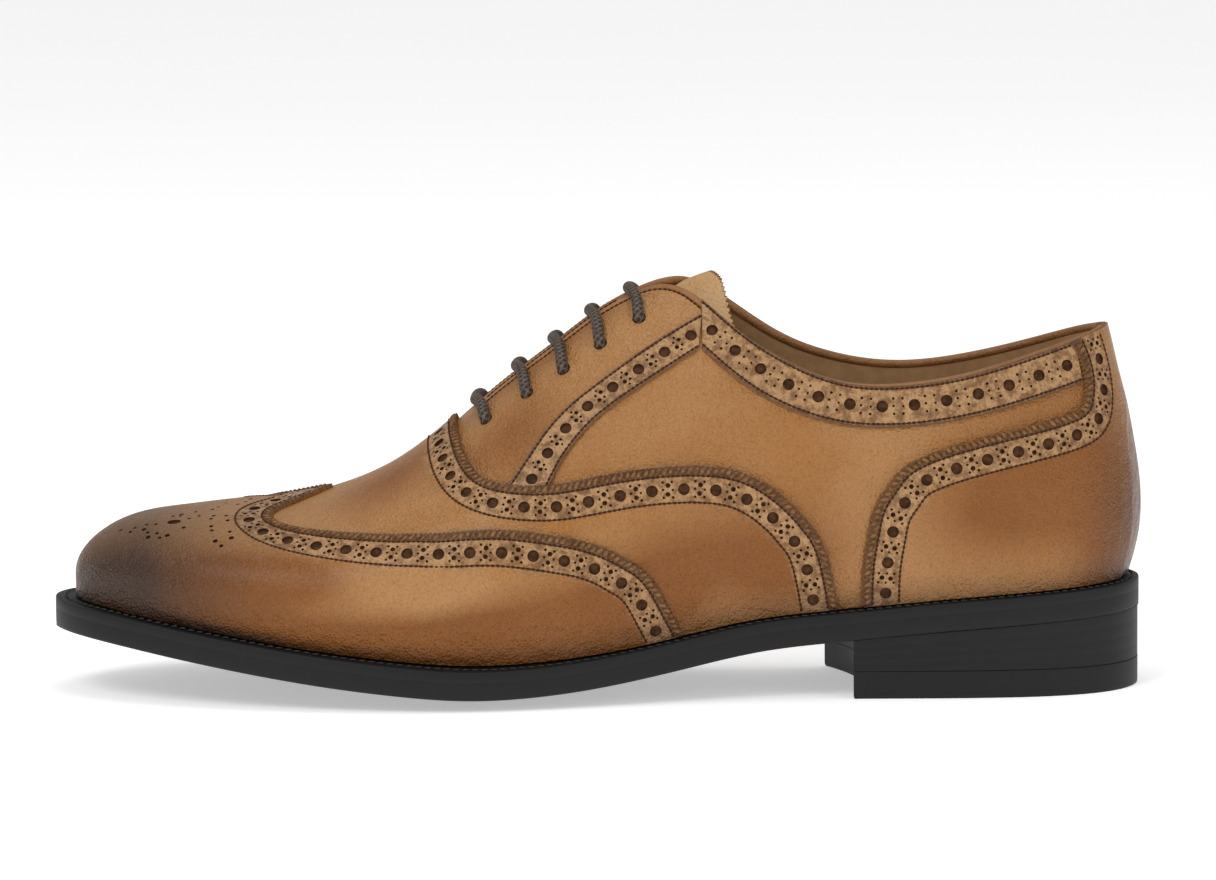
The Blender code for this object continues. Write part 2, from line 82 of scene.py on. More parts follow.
ELEVATION, ROLL = np.radians(7.3), -0.006
AIM, DISTANCE = Vector((0.0033, 0.0, 0.0688)), 1.8
LENS, SENSOR, NEAR = 190.3, 36.0, 0.05
forward = Vector((0, np.cos(ELEVATION), -np.sin(ELEVATION)))
lens = bpy.data.cameras.new("photo_camera")
lens.lens, lens.sensor_width, lens.clip_start = LENS, SENSOR, NEAR
camera = placed("photo_camera", lens)
camera.location = AIM - DISTANCE * forward
camera.rotation_euler = (forward.to_track_quat("-Z", "Y") @ Quaternion((0, 0, 1), ROLL)).to_euler()
bpy.context.scene.camera = camera
bpy.context.scene.view_settings.view_transform = "Standard"

# %% Nodes in one line
def add(tree, kind, settings=None, **inputs):
    """One node: settings are its own options, inputs are values or linked sockets; _3 means socket 3."""
    node = tree.nodes.new(kind)
    for name, value in (settings or {}).items():
        setattr(node, name, value)
    for name, value in inputs.items():
        socket = node.inputs[int(name[1:])] if name[0] == "_" else node.inputs[name.replace("_", " ")]
        if isinstance(value, bpy.types.NodeSocket):
            tree.links.new(value, socket)
        else:
            socket.default_value = value
    return node


def colour(text):
    """An sRGB hex value as linear colour."""
    parts = np.array([int(text[i:i + 2], 16) / 255 for i in (1, 3, 5)])
    linear = np.where(parts <= 0.04045, parts / 12.92, ((parts + 0.055) / 1.055) ** 2.4)
    return (*linear, 1.0)

# %% Floor and lights
FLOOR_SIZE = 12.0
bpy.ops.mesh.primitive_plane_add(size=FLOOR_SIZE)
floor = bpy.context.object
floor.name = "floor"
paper = bpy.data.materials.new("white_paper")
paper.use_nodes = True
shader = paper.node_tree.nodes["Principled BSDF"]
speck = add(paper.node_tree, "ShaderNodeTexNoise", Scale=40.0)
tone = add(paper.node_tree, "ShaderNodeMix", {"data_type": "RGBA"}, _0=speck.outputs[0], _6=colour("#F4F4F4"),
           _7=colour("#F8F8F8"))
paper.node_tree.links.new(tone.outputs[2], shader.inputs["Base Color"])
for name, value in (("Roughness", 0.9), ("Emission Color", colour("#FFFFFF")), ("Emission Strength", 0.42)):
    shader.inputs[name].default_value = value
floor.data.materials.append(paper)

world = bpy.data.worlds.new("studio")
world.use_nodes = True
background = world.node_tree.nodes["Background"]
background.inputs["Color"].default_value = colour("#FFFFFF")
background.inputs["Strength"].default_value = 0.5
bpy.context.scene.world = world

LIGHTS = {
    "key": ((-0.8, -1.2, 1.5), 0.8, 12.0),
    "fill": ((1.3, -1.2, 0.8), 1.0, 4.0),
    "top": ((0.1, 0.1, 1.7), 1.0, 6.0),
}
for name, (place, size, power) in LIGHTS.items():
    light = bpy.data.lights.new(name, "AREA")
    light.size = size
    light.energy = power
    lamp = placed(name, light)
    lamp.location = place
    lamp.rotation_euler = (Vector((0, 0, 0.05)) - lamp.location).to_track_quat("-Z", "Y").to_euler()

# %% [markdown]
# ## The last
#
# A shoemaker starts from a last, and everything else is laid on it. Here the last is one function,
# skin(): it takes a place along the foot, a share of the way from welt to instep, and how far off the
# surface to be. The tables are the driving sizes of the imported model, repeated because this file reads
# nothing else.

# %% Sizes and tables
MM = 0.001

# Named sizes
SOLE_LENGTH = 304 * MM
BALL_WIDTH = 105 * MM
HEEL_HEIGHT = 22.2 * MM
TOE_SPRING = 18.2 * MM
INSTEP_HEIGHT = 116 * MM
BACK_HEIGHT = 71 * MM
CAMBER = 4.4 * MM
OUTSOLE = 5.0 * MM
WELT = 3.0 * MM
WELT_RISE = 0.8 * MM
TOP_LIFT = 7.6 * MM
WALL = 2.0 * MM
INSOLE_OVER = 1.5 * MM
LACE = 3.0 * MM
APART = 0.3 * MM


def curve(at, values, where):
    """Natural cubic spline through the rows of a table."""
    at, values = np.asarray(at, float), np.asarray(values, float)
    n = len(at)
    h = np.diff(at)
    A = np.eye(n)
    b = np.zeros(n)
    for i in range(1, n - 1):
        A[i, i - 1:i + 2] = h[i - 1], 2 * (h[i - 1] + h[i]), h[i]
        b[i] = 3 * ((values[i + 1] - values[i]) / h[i] - (values[i] - values[i - 1]) / h[i - 1])
    c = np.linalg.solve(A, b)
    x = np.asarray(where, float)
    k = np.clip(np.searchsorted(at, x) - 1, 0, n - 2)
    d = x - at[k]
    slope = (values[k + 1] - values[k]) / h[k] - h[k] * (2 * c[k] + c[k + 1]) / 3
    return values[k] + slope * d + c[k] * d ** 2 + (c[k + 1] - c[k]) / (3 * h[k]) * d ** 3


class Table:
    """Named columns over the first one."""

    def __init__(self, names, rows):
        self.names = names.split()
        self.rows = np.array(rows)

    def __call__(self, name, where):
        return curve(self.rows[:, 0], self.rows[:, self.names.index(name)], where)


# Underside of the sole's rim, from the back of the heel to the toe tip.
# heel: share of HEEL_HEIGHT; toe: share of TOE_SPRING; camber: share of CAMBER
EDGE = Table("at heel toe camber", [
    (0.0, 1.0, 0.0, 0.0), (0.1, 0.915, 0.0, 0.0), (0.2, 0.815, 0.0, 0.0), (0.28, 0.715, 0.0, 0.0),
    (0.35, 0.62, 0.0, 0.2), (0.42, 0.44, 0.0, 0.6), (0.5, 0.24, 0.01, 0.9), (0.56, 0.11, 0.07, 1.0),
    (0.62, 0.03, 0.145, 1.0), (0.68, 0.0, 0.255, 1.0), (0.75, 0.0, 0.39, 0.9), (0.82, 0.0, 0.56, 0.7),
    (0.9, 0.0, 0.775, 0.5), (0.96, 0.0, 0.925, 0.3), (1.0, 0.0, 1.0, 0.2),
])

# Plan of the sole: half widths as shares of BALL_WIDTH, before the ends are rounded off
PLAN = Table("at lateral medial", [
    (0.0, 0.3, 0.3), (0.1, 0.302, 0.302), (0.2, 0.296, 0.288), (0.3, 0.296, 0.255), (0.4, 0.338, 0.248),
    (0.5, 0.41, 0.29), (0.6, 0.47, 0.385), (0.68, 0.475, 0.46), (0.76, 0.45, 0.48), (0.84, 0.405, 0.45),
    (0.92, 0.35, 0.39), (1.0, 0.3, 0.325),
])
HEEL_ROUND, TOE_ROUND = 17.0, 14.0

# Sections of the upper. lateral, medial: half widths and turn: swing of the crest, shares of BALL_WIDTH;
# foot: width at the welt over full width; low: share of height to the widest line;
# crest: share of INSTEP_HEIGHT over the floor; lean: how far the sides draw in toward the crest
FORM = Table("at lateral medial foot low crest lean turn", [
    (0.0, 0.295, 0.295, 0.9, 0.26, 1.07, 0.2, 0.0), (0.1, 0.295, 0.295, 0.9, 0.26, 1.07, 0.2, 0.0),
    (0.2, 0.29, 0.286, 0.9, 0.26, 1.06, 0.24, 0.0), (0.3, 0.288, 0.274, 0.9, 0.26, 1.045, 0.3, 0.0),
    (0.4, 0.308, 0.274, 0.92, 0.26, 1.01, 0.36, 0.01), (0.5, 0.365, 0.305, 0.94, 0.26, 0.92, 0.36, 0.02),
    (0.55, 0.393, 0.334, 0.94, 0.27, 0.826, 0.34, 0.023), (0.6, 0.415, 0.365, 0.94, 0.28, 0.73, 0.3, 0.025),
    (0.65, 0.424, 0.395, 0.94, 0.28, 0.62, 0.24, 0.025), (0.7, 0.422, 0.41, 0.94, 0.3, 0.529, 0.15, 0.022),
    (0.75, 0.41, 0.415, 0.94, 0.31, 0.475, 0.06, 0.02),
    (0.8, 0.392, 0.405, 0.94, 0.33, 0.445, -0.02, 0.016),
    (0.85, 0.365, 0.385, 0.94, 0.34, 0.436, -0.06, 0.013),
    (0.9, 0.335, 0.355, 0.94, 0.36, 0.433, -0.08, 0.01),
    (0.95, 0.305, 0.32, 0.94, 0.38, 0.437, -0.09, 0.005), (1.0, 0.275, 0.285, 0.94, 0.4, 0.422, -0.09, 0.0),
])
UPPER_BACK, UPPER_TOE = 0.0120, 0.9735
TOE_WALL = 6 * MM
CREST_ROUND = 17.5
LOW_SHARE = 0.22

# Back curve: height over the welt as a share of BACK_HEIGHT, and millimetres out
BACK = Table("at out", [
    (0.0, -0.6), (0.1, 1.4), (0.2, 2.6), (0.3, 2.8), (0.42, 2.1), (0.55, 0.6), (0.68, -1.2), (0.8, -3.4),
    (0.93, -5.6), (1.2, -11.0), (1.5, -18.0),
])

# Topline as a share of the girth from welt to crest, and the depth of the collar strap below it
TOP = Table("at lateral medial band", [
    (0.0, 0.575, 0.575, 0.095), (0.07, 0.532, 0.524, 0.091), (0.15, 0.489, 0.488, 0.085),
    (0.22, 0.476, 0.486, 0.083), (0.28, 0.495, 0.52, 0.086), (0.33, 0.554, 0.583, 0.101),
    (0.37, 0.637, 0.68, 0.118), (0.4, 0.735, 0.788, 0.14), (0.43, 0.858, 0.915, 0.18),
    (0.45, 0.912, 0.948, 0.2), (0.47, 0.93, 0.952, 0.2), (0.5, 0.944, 0.957, 0.2),
    (0.55, 0.962, 0.966, 0.2), (0.6, 0.978, 0.979, 0.2), (0.66, 0.988, 0.988, 0.2),
])
THROAT_END = 0.64

# Edges of the overlays: girth share, and station of the edge
WING_EDGE = Table("at s", [
    (0.0, 0.427), (0.1, 0.445), (0.2, 0.471), (0.27, 0.513), (0.32, 0.556), (0.396, 0.622), (0.485, 0.688),
    (0.56, 0.736), (0.64, 0.78), (0.7, 0.802), (0.77, 0.812), (0.83, 0.807), (0.89, 0.79), (0.94, 0.774),
    (1.0, 0.757),
])
VAMP_EDGE = Table("at s", [
    (0.0, 0.282), (0.11, 0.29), (0.2, 0.304), (0.27, 0.331), (0.32, 0.362), (0.355, 0.402), (0.378, 0.45),
    (0.4, 0.505), (0.44, 0.562), (0.5, 0.6), (0.59, 0.623), (0.72, 0.635), (0.86, 0.64), (1.0, 0.641),
])
COUNTER_EDGE = Table("at s", [
    (0.0, 0.258), (0.11, 0.257), (0.19, 0.252), (0.24, 0.246), (0.285, 0.231), (0.32, 0.21), (0.342, 0.176),
    (0.363, 0.125), (0.379, 0.083), (0.393, 0.056), (0.415, 0.043), (0.45, 0.038), (0.5, 0.038),
    (0.58, 0.048),
])
# Facing strap, from the vamp up to the collar: station and girth share of its front and rear edges
FACING = Table("at front_s front_t rear_s rear_t", [
    (0.0, 0.584, 0.496, 0.549, 0.443), (0.17, 0.567, 0.543, 0.535, 0.489),
    (0.33, 0.552, 0.579, 0.516, 0.522), (0.5, 0.529, 0.606, 0.495, 0.541),
    (0.67, 0.496, 0.624, 0.463, 0.564), (0.83, 0.449, 0.664, 0.435, 0.588),
    (1.0, 0.407, 0.709, 0.411, 0.613),
])
EYELETS = [(0.612, 0.770), (0.573, 0.750), (0.538, 0.742), (0.503, 0.744), (0.466, 0.768)]
BAR_SKEW = 0.010

# Tongue: how far its outer face lies under the upper's outer face, millimetres
TONGUE = Table("at under", [
    (0.37, 0.6), (0.395, 1.0), (0.41, 1.6), (0.43, 3.1), (0.445, 5.1), (0.46, 6.5), (0.48, 7.0), (0.6, 6.9),
    (0.72, 6.0),
])
TONGUE_FRONT, TONGUE_SIDE = 0.70, 0.68
TONGUE_THICK = 1.8 * MM


def edge(a):
    """Height of the underside of the sole's rim at share a of its length from the heel."""
    return HEEL_HEIGHT * EDGE("heel", a) + TOE_SPRING * EDGE("toe", a)


def camber(a):
    return CAMBER * EDGE("camber", a)


def rounded(a):
    return np.sqrt(np.clip(1 - (1 - a) ** HEEL_ROUND, 0, 1)) * np.sqrt(np.clip(1 - a ** TOE_ROUND, 0, 1))


def half(a, side):
    return BALL_WIDTH * PLAN("lateral" if side < 0 else "medial", a) * rounded(a)


def feather(a):
    """Height of the line where the upper meets the welt."""
    return edge(a) + OUTSOLE + WELT + WELT_RISE


def station(s, off=0.0):
    back, toe = UPPER_BACK - off / SOLE_LENGTH, UPPER_TOE + off / SOLE_LENGTH
    return back + s * (toe - back)


def skin(s, t, side, off=0.0):
    """Points of the upper: s from heel 0 to toe 1, t from welt 0 to crest 1, side -1 lateral or 1 medial."""
    s, t, off = np.broadcast_arrays(*(np.asarray(v, float) for v in (s, t, off)))
    a = station(s, off)
    zf = feather(np.clip(a, 0, 1))
    step = 0.004
    slope = (FORM("crest", s + step) - FORM("crest", s - step)) * INSTEP_HEIGHT / (2 * step * SOLE_LENGTH)
    crest = INSTEP_HEIGHT * FORM("crest", s) + off * np.sqrt(1 + slope ** 2)
    tall = TOE_WALL + (crest - zf - TOE_WALL) * np.sqrt(np.clip(1 - s ** CREST_ROUND, 0, 1))
    cap = rounded(s)
    wide = (BALL_WIDTH * FORM("lateral" if side < 0 else "medial", s) + off) * cap
    turn = BALL_WIDTH * FORM("turn", s) * cap
    low, lean, foot = FORM("low", s), FORM("lean", s), FORM("foot", s)
    tau = np.clip(t / LOW_SHARE, 0, 1)
    angle = np.clip((t - LOW_SHARE) / (1 - LOW_SHARE), 0, 1) * np.pi / 2
    under = t < LOW_SHARE
    v = np.where(under, low * tau, low + (1 - low) * np.sin(angle))
    out = np.where(under, 1 - (1 - foot) * (1 - tau) ** 2, np.cos(angle) * (1 - lean * np.sin(angle) ** 2))
    y = side * wide * out + turn * np.clip(v, 0, 1) ** 2
    z = zf + tall * v
    back = MM * BACK("out", np.clip((z - zf) / BACK_HEIGHT, 0, 1.5)) * np.clip(1 - s / 0.33, 0, 1) ** 2
    return np.stack([SOLE_LENGTH * (0.5 - a) + back, y, z], -1)


def topline(s, side):
    """Girth share where the upper ends: the collar, then the throat, then the closed crest."""
    s = np.asarray(s, float)
    ends = TOP("lateral" if side < 0 else "medial", np.minimum(s, 0.66))
    return np.where(s >= THROAT_END - 1e-6, 1.0, ends)


def spaced(n, low=0.0, high=1.0):
    """n steps that close up toward both ends."""
    return low + (high - low) * (1 - np.cos(np.pi * np.arange(n + 1) / n)) / 2


# Front face of the heel: station at each share across it
BREAST = Table("at a", [(-1.0, 0.267), (-0.5, 0.259), (0.0, 0.258), (0.5, 0.268), (1.0, 0.287)])

# %% [markdown]
# ## Walking on the surface
#
# Seams on a shoe keep a fixed distance from the edge of their panel. So a line is kept as places on the
# last, and it is shifted by walking over the surface in steps of a millimetre, always square to where it
# started.

# %% Directions on the surface
MIRROR = np.array([1, -1, 1])


def unit(v):
    return v / np.maximum(np.linalg.norm(v, axis=-1, keepdims=True), 1e-12)


def run(points):
    """Running length along a row of points."""
    return np.concatenate([[0], np.cumsum(np.linalg.norm(np.diff(points, axis=0), axis=1))])


def directions(s, t, side, off):
    """Point, outward normal, and how the point moves with s and with t."""
    d = 1e-3
    along = skin(np.minimum(s + d, 1), t, side, off) - skin(np.maximum(s - d, 0), t, side, off)
    along = along / (np.minimum(s + d, 1) - np.maximum(s - d, 0))[..., None]
    up = skin(s, np.minimum(t + d, 1), side, off) - skin(s, np.maximum(t - d, 0), side, off)
    up = up / (np.minimum(t + d, 1) - np.maximum(t - d, 0))[..., None]
    return skin(s, t, side, off), unit(side * np.cross(along, up)), along, up


def in_places(way, along, up):
    """How far s and t move for a way over the surface."""
    aa, ab, bb = (along * along).sum(-1), (along * up).sum(-1), (up * up).sum(-1)
    wa, wb = (way * along).sum(-1), (way * up).sum(-1)
    return np.stack([wa * bb - wb * ab, wb * aa - wa * ab]) / np.maximum(aa * bb - ab ** 2, 1e-12)


def even(line, side, off, pitch, start=0.0):
    """The same line with its places a pitch apart."""
    length = run(skin(line[0], line[1], side, off))
    count = max(int((length[-1] - 2 * start) / pitch), 1)
    where = np.linspace(start, length[-1] - start, count + 1)
    return np.stack([np.interp(where, length, row) for row in line])


def shifted(line, side, off, distance, toward, keep=0.97):
    """The line moved over the surface to its left or right, without the parts that would fold back."""
    place = line
    point, normal, _, _ = directions(*place, side, off)
    way = unit(toward * np.cross(normal, np.gradient(point, axis=0)))
    rounds = max(int(np.ceil(abs(distance) / MM)), 1)
    for _ in range(rounds):
        point, normal, along, up = directions(*np.clip(place, 0, 1), side, off)
        way = unit(way - normal * (way * normal).sum(-1, keepdims=True))
        place = place + distance / rounds * in_places(way, along, up)
    s, t = place
    good = (s > 0.001) & (s < 0.999) & (t > 0.003) & (t < 0.9995)
    base = skin(*line, side, off)
    near = [min(np.linalg.norm(row - p, axis=1).min() for row in (base, base * MIRROR))
            for p in skin(*np.clip(place, 0, 1), side, off)]
    return place[:, good & (np.array(near) > keep * abs(distance))]

# %% Mesh helpers
EVERY_WALL = ("first_row", "last_row", "first_column", "last_column")


def smooth(mesh, angle=40):
    mesh.shade_smooth()
    mesh.set_sharp_from_angle(angle=np.radians(angle))


def mesh_piece(name, points, faces, materials, slots=None):
    """One mesh object from points and faces, coincident points joined and faces turned outward."""
    mesh = bpy.data.meshes.new(name)
    mesh.from_pydata([tuple(p) for p in points], [], faces)
    for material in materials:
        mesh.materials.append(material)
    if slots is not None:
        mesh.polygons.foreach_set("material_index", slots)
    bm = bmesh.new()
    bm.from_mesh(mesh)
    bmesh.ops.remove_doubles(bm, verts=bm.verts, dist=2e-6)
    bmesh.ops.dissolve_degenerate(bm, edges=bm.edges, dist=1e-7)
    bmesh.ops.recalc_face_normals(bm, faces=bm.faces)
    bm.to_mesh(mesh)
    bm.free()
    smooth(mesh)
    return placed(name, mesh)


def attribute(mesh, name, values, kind="FLOAT"):
    """A value for every point of a mesh."""
    layer = mesh.attributes.new(name, kind, "POINT")
    layer.data.foreach_set("value" if kind == "FLOAT" else "vector", np.asarray(values, np.float32).ravel())


def flattened(*grids):
    """Grids of points one after another in one list."""
    return np.concatenate([grid.reshape(-1, grid.shape[-1]) for grid in grids])


def sheet(low, high, walls=EVERY_WALL, base=0, top_walls=None):
    """Faces of a solid between two grids of points: outer faces, edge faces and inner faces."""
    rows, columns = low.shape[:2]
    n = rows * columns
    corners = [(base + i * columns + j, base + (i + 1) * columns + j)
               for i in range(rows - 1) for j in range(columns - 1)]
    outside = [(n + a, n + a + 1, n + d + 1, n + d) for a, d in corners]
    inside = [(d, d + 1, a + 1, a) for a, d in corners]
    last = (rows - 1) * columns
    ends = {
        "first_row": [(j, j + 1) for j in range(columns - 1)],
        "last_row": [(last + j + 1, last + j) for j in range(columns - 1)],
        "first_column": [((i + 1) * columns, i * columns) for i in range(rows - 1)],
        "last_column": [((i + 1) * columns - 1, (i + 2) * columns - 1) for i in range(rows - 1)],
    }
    if top_walls is not None:
        ends["last_row"] = [pair for pair, wanted in zip(ends["last_row"], top_walls) if wanted]
    rims = [(base + a, base + b, base + n + b, base + n + a) for wall in walls for a, b in ends[wall]]
    return outside, rims, inside


def evaluated_copy(obj, name):
    """The object with its modifiers applied, as a new plain object; the old one goes."""
    bpy.context.view_layer.update()
    graph = bpy.context.evaluated_depsgraph_get()
    mesh = bpy.data.meshes.new_from_object(obj.evaluated_get(graph))
    bpy.data.objects.remove(obj)
    mesh.name = name
    return placed(name, mesh)

# %% [markdown]
# ## Leather and thread
#
# The upper is tan calf, burnished by hand: wax and heat turn it golden near the seams and almost black at
# the toe. The eye reads that as depth, so the colour has four layers: the tan, the golden burnish, the
# mottled antiquing of the punched bands, and the dark of toe and heel. Each layer has its own mask on the
# mesh. The burnish mask also carries a painted highlight, a few spots where the gold is taken away, and a
# dark strip along the pinked edges is partly painted shade.

# %% Calf leather
TAN, TAN_LIGHT, GOLD = colour("#A36C30"), colour("#B88650"), colour("#854B00")
BAND_LIGHT, BAND_BROWN, SEAM_TONE_AND_SHADE = colour("#B58A5C"), colour("#7C542B"), colour("#4C2F18")
BURNT, CUT_EDGE, LINING = colour("#2E1604"), colour("#8A6034"), colour("#B08A60")
HOLE_BROWN, THREAD_BROWN = colour("#573822"), colour("#341A0A")
LACE_BROWN, LACE_VALLEY_SHADE, SOLE_BLACK = colour("#64554A"), colour("#20170F"), colour("#0B0B0F")


def blank(name, roughness, **constants):
    """A new material, its tree, its shader, and object coordinates."""
    material = bpy.data.materials.new(name)
    material.use_nodes = True
    tree = material.node_tree
    shader = tree.nodes["Principled BSDF"]
    shader.inputs["Roughness"].default_value = roughness
    for key, value in constants.items():
        shader.inputs[key.replace("_", " ")].default_value = value
    place = add(tree, "ShaderNodeTexCoord").outputs["Object"]
    return material, tree, shader, place


def mixed(tree, share, first, second):
    return add(tree, "ShaderNodeMix", {"data_type": "RGBA"}, _0=share, _6=first, _7=second).outputs[2]


def noise(tree, place, scale, detail, **more):
    return add(tree, "ShaderNodeTexNoise", Vector=place, Scale=scale, Detail=detail, **more).outputs[0]


def mask(tree, name):
    return add(tree, "ShaderNodeAttribute", {"attribute_name": name}).outputs["Fac"]


def sums(tree, operation, first, second, clamp=False):
    node = add(tree, "ShaderNodeMath", {"operation": operation, "use_clamp": clamp}, _0=first, _1=second)
    return node.outputs[0]


def ranged(tree, value, low, high, to_low=0.0, to_high=1.0):
    node = add(tree, "ShaderNodeMapRange", {"interpolation_type": "SMOOTHSTEP"}, Value=value, From_Min=low,
               From_Max=high, To_Min=to_low, To_Max=to_high)
    return node.outputs[0]


def calf(name, tan=TAN, light=TAN_LIGHT, roughness=0.40, gloss=0.12, relief=1.1 * MM):
    """Burnished calf: full grain, waxed by hand and polished, so a soft coat lies over a fine pebble."""
    material, tree, shader, place = blank(name, roughness, Coat_Weight=gloss, Coat_Roughness=0.28,
                                         Specular_IOR_Level=0.4)
    cloud = noise(tree, place, 22.0, 3.0)
    mottle = noise(tree, place, 420.0, 4.0, Roughness=0.65)
    fleck = noise(tree, place, 1500.0, 2.0)
    base = mixed(tree, ranged(tree, cloud, 0.35, 0.65), tan, light)
    uneven = sums(tree, "MULTIPLY", sums(tree, "SUBTRACT", cloud, 0.5), 0.9)
    antique = mixed(tree, ranged(tree, mottle, 0.36, 0.62), BAND_BROWN, BAND_LIGHT)
    # The burnish mask: golden burnish, and lighter spots where negative patches take the gold away, a painted
    # highlight.
    base = mixed(tree, sums(tree, "ADD", mask(tree, "burnish"), uneven, True), base, GOLD)
    # The seam mask lays a dark brown strip along the pinked edges and strap edges: partly the edge's own
    # darker tone, partly painted shade between the lobes and under the teeth.
    for name, tint in (("band", antique), ("seam", SEAM_TONE_AND_SHADE), ("dark", BURNT)):
        base = mixed(tree, mask(tree, name), base, tint)
    base = mixed(tree, sums(tree, "MULTIPLY", ranged(tree, fleck, 0.45, 0.7), 0.20), base, BURNT)
    tree.links.new(base, shader.inputs["Base Color"])
    pebble = add(tree, "ShaderNodeTexVoronoi", {"feature": "SMOOTH_F1"}, Vector=place, Scale=1500.0,
                 Smoothness=0.4).outputs[0]
    fold = noise(tree, place, 260.0, 3.0)
    height = sums(tree, "ADD", sums(tree, "MULTIPLY", pebble, 0.35), fold)
    bump = add(tree, "ShaderNodeBump", Strength=1.0, Distance=relief, Height=height)
    tree.links.new(bump.outputs[0], shader.inputs["Normal"])
    worn = ranged(tree, fold, 0.3, 0.7, roughness - 0.05, roughness + 0.09)
    tree.links.new(worn, shader.inputs["Roughness"])
    return material


def plain(name, base, other, scale, roughness, bump_mm, **constants):
    """A finish of two near tones in a fine noise, with a little relief of the same noise."""
    material, tree, shader, place = blank(name, roughness, **constants)
    cloud = noise(tree, place, scale, 4.0)
    tree.links.new(mixed(tree, ranged(tree, cloud, 0.35, 0.65), base, other), shader.inputs["Base Color"])
    relief = add(tree, "ShaderNodeBump", Strength=0.5, Distance=bump_mm * MM, Height=cloud)
    tree.links.new(relief.outputs[0], shader.inputs["Normal"])
    return material


calf_tan = calf("burnished_calf")
calf_pale = calf("natural_calf", colour("#BC8F5C"), colour("#C9A26E"), 0.5, 0.1, 0.4 * MM)
calf_bound = calf("binding_calf", colour("#86592E"), colour("#986A3C"), 0.5, 0.1, 0.6 * MM)
cut_leather = plain("cut_leather_edge", CUT_EDGE, colour("#78502A"), 900.0, 0.7, 0.05)
punched = plain("punched_hole", HOLE_BROWN, colour("#3A2414"), 700.0, 0.85, 0.05, Specular_IOR_Level=0.2)
lining = plain("calf_lining", LINING, colour("#BB956A"), 300.0, 0.6, 0.05)
thread = plain("waxed_thread", THREAD_BROWN, colour("#4A2A14"), 2500.0, 0.75, 0.03, Specular_IOR_Level=0.2)
welt_thread = plain("waxed_welt_thread", colour("#34322F"), colour("#242321"), 2500.0, 0.7, 0.03)
gimp_leather = plain("gimped_leather_edge", colour("#8E6438"), colour("#5E3C1C"), 800.0, 0.6, 0.06,
                     Specular_IOR_Level=0.25)


def braided(name):
    """Waxed cotton braid: the strands' backs keep the cord's brown, and the valleys between them are painted
    near-black, a painted shade.
    """
    material, tree, shader, place = blank(name, 0.62)
    strand = mask(tree, "strand")
    fray = noise(tree, place, 2400.0, 2.0)
    share = sums(tree, "MULTIPLY", ranged(tree, strand, 0.25, 0.85), ranged(tree, fray, 0.2, 0.6, 0.55, 1.0))
    # Low places of the braid relief take the near-black: painted shade in the valleys between the strands.
    tree.links.new(mixed(tree, share, LACE_VALLEY_SHADE, LACE_BROWN), shader.inputs["Base Color"])
    relief = add(tree, "ShaderNodeBump", Strength=0.4, Distance=0.05 * MM, Height=fray)
    tree.links.new(relief.outputs[0], shader.inputs["Normal"])
    return material


braid = braided("waxed_cotton_braid")
edge_black = plain("inked_sole_leather", SOLE_BLACK, colour("#0B0C0E"), 180.0, 0.55, 0.04,
                   Specular_IOR_Level=0.35)
print("materials:", len(bpy.data.materials))

# %% [markdown]
# ## Places along the panels
#
# Each panel's edge is read from its table and laid out with points a half tooth apart, so that every
# other point can be pushed out and in again to give the pinked edge.

# %% Panel edges
TOOTH = 1.3 * MM
TOOTH_DEPTH = 0.7 * MM
SEAM_IN = 2.5 * MM
BAND_WIDTH = 7.4 * MM
VAMP_LIES, WING_LIES, COUNTER_LIES, STRAP_LIES = 1.4 * MM, 2.4 * MM, 1.4 * MM, 1.05 * MM
SIDES = {"lateral": -1, "medial": 1}


def edge_line(table, side, off, high=1.0):
    t = np.linspace(0, high, 1500)
    return even(np.stack([table("s", t), t]), side, off, TOOTH / 2)


wing_line = edge_line(WING_EDGE, -1, WING_LIES)
vamp_line = edge_line(VAMP_EDGE, -1, VAMP_LIES)
counter_line = edge_line(COUNTER_EDGE, -1, COUNTER_LIES, TOP.rows[0, 1])
print("edges:", wing_line.shape[1], vamp_line.shape[1], counter_line.shape[1], "points")

# %% [markdown]
# ## Where the burnish and the painted highlight sit
#
# Masks are worked out for each point from its place on the last: golden near the welt and along the panels,
# burnt at the toe and up the heel's back. A few patches on the vamp and the wing take the gold away: a
# painted highlight.

# %% Masks
# Patches of the burnish mask: station, girth share, their two widths and strength. The three with negative
# strength lighten spots on the vamp and wing: a painted highlight.
BURNISH_AND_HIGHLIGHT_PATCHES = [
    (0.86, 0.30, 0.09, 0.22, 0.75), (0.62, 0.10, 0.16, 0.08, 0.75), (0.46, 0.10, 0.06, 0.10, 0.55),
    (0.80, 0.36, 0.06, 0.12, 0.55), (0.70, 0.80, 0.05, 0.16, 0.55), (0.64, 0.62, 0.035, 0.10, 0.45),
    (0.58, 0.62, 0.035, 0.14, 0.50), (0.55, 0.86, 0.09, 0.05, 0.35), (0.33, 0.10, 0.05, 0.10, 0.55),
    (0.40, 0.20, 0.10, 0.08, 0.45), (0.14, 0.22, 0.06, 0.13, 0.60), (0.08, 0.27, 0.05, 0.14, 0.50),
    (0.03, 0.15, 0.04, 0.25, 0.60),
    (0.67, 0.45, 0.05, 0.22, -0.45), (0.56, 0.35, 0.05, 0.10, -0.30), (0.62, 0.30, 0.10, 0.05, -0.30),
]


def bell(x, centre, width):
    return np.exp(-((x - centre) / width) ** 2)


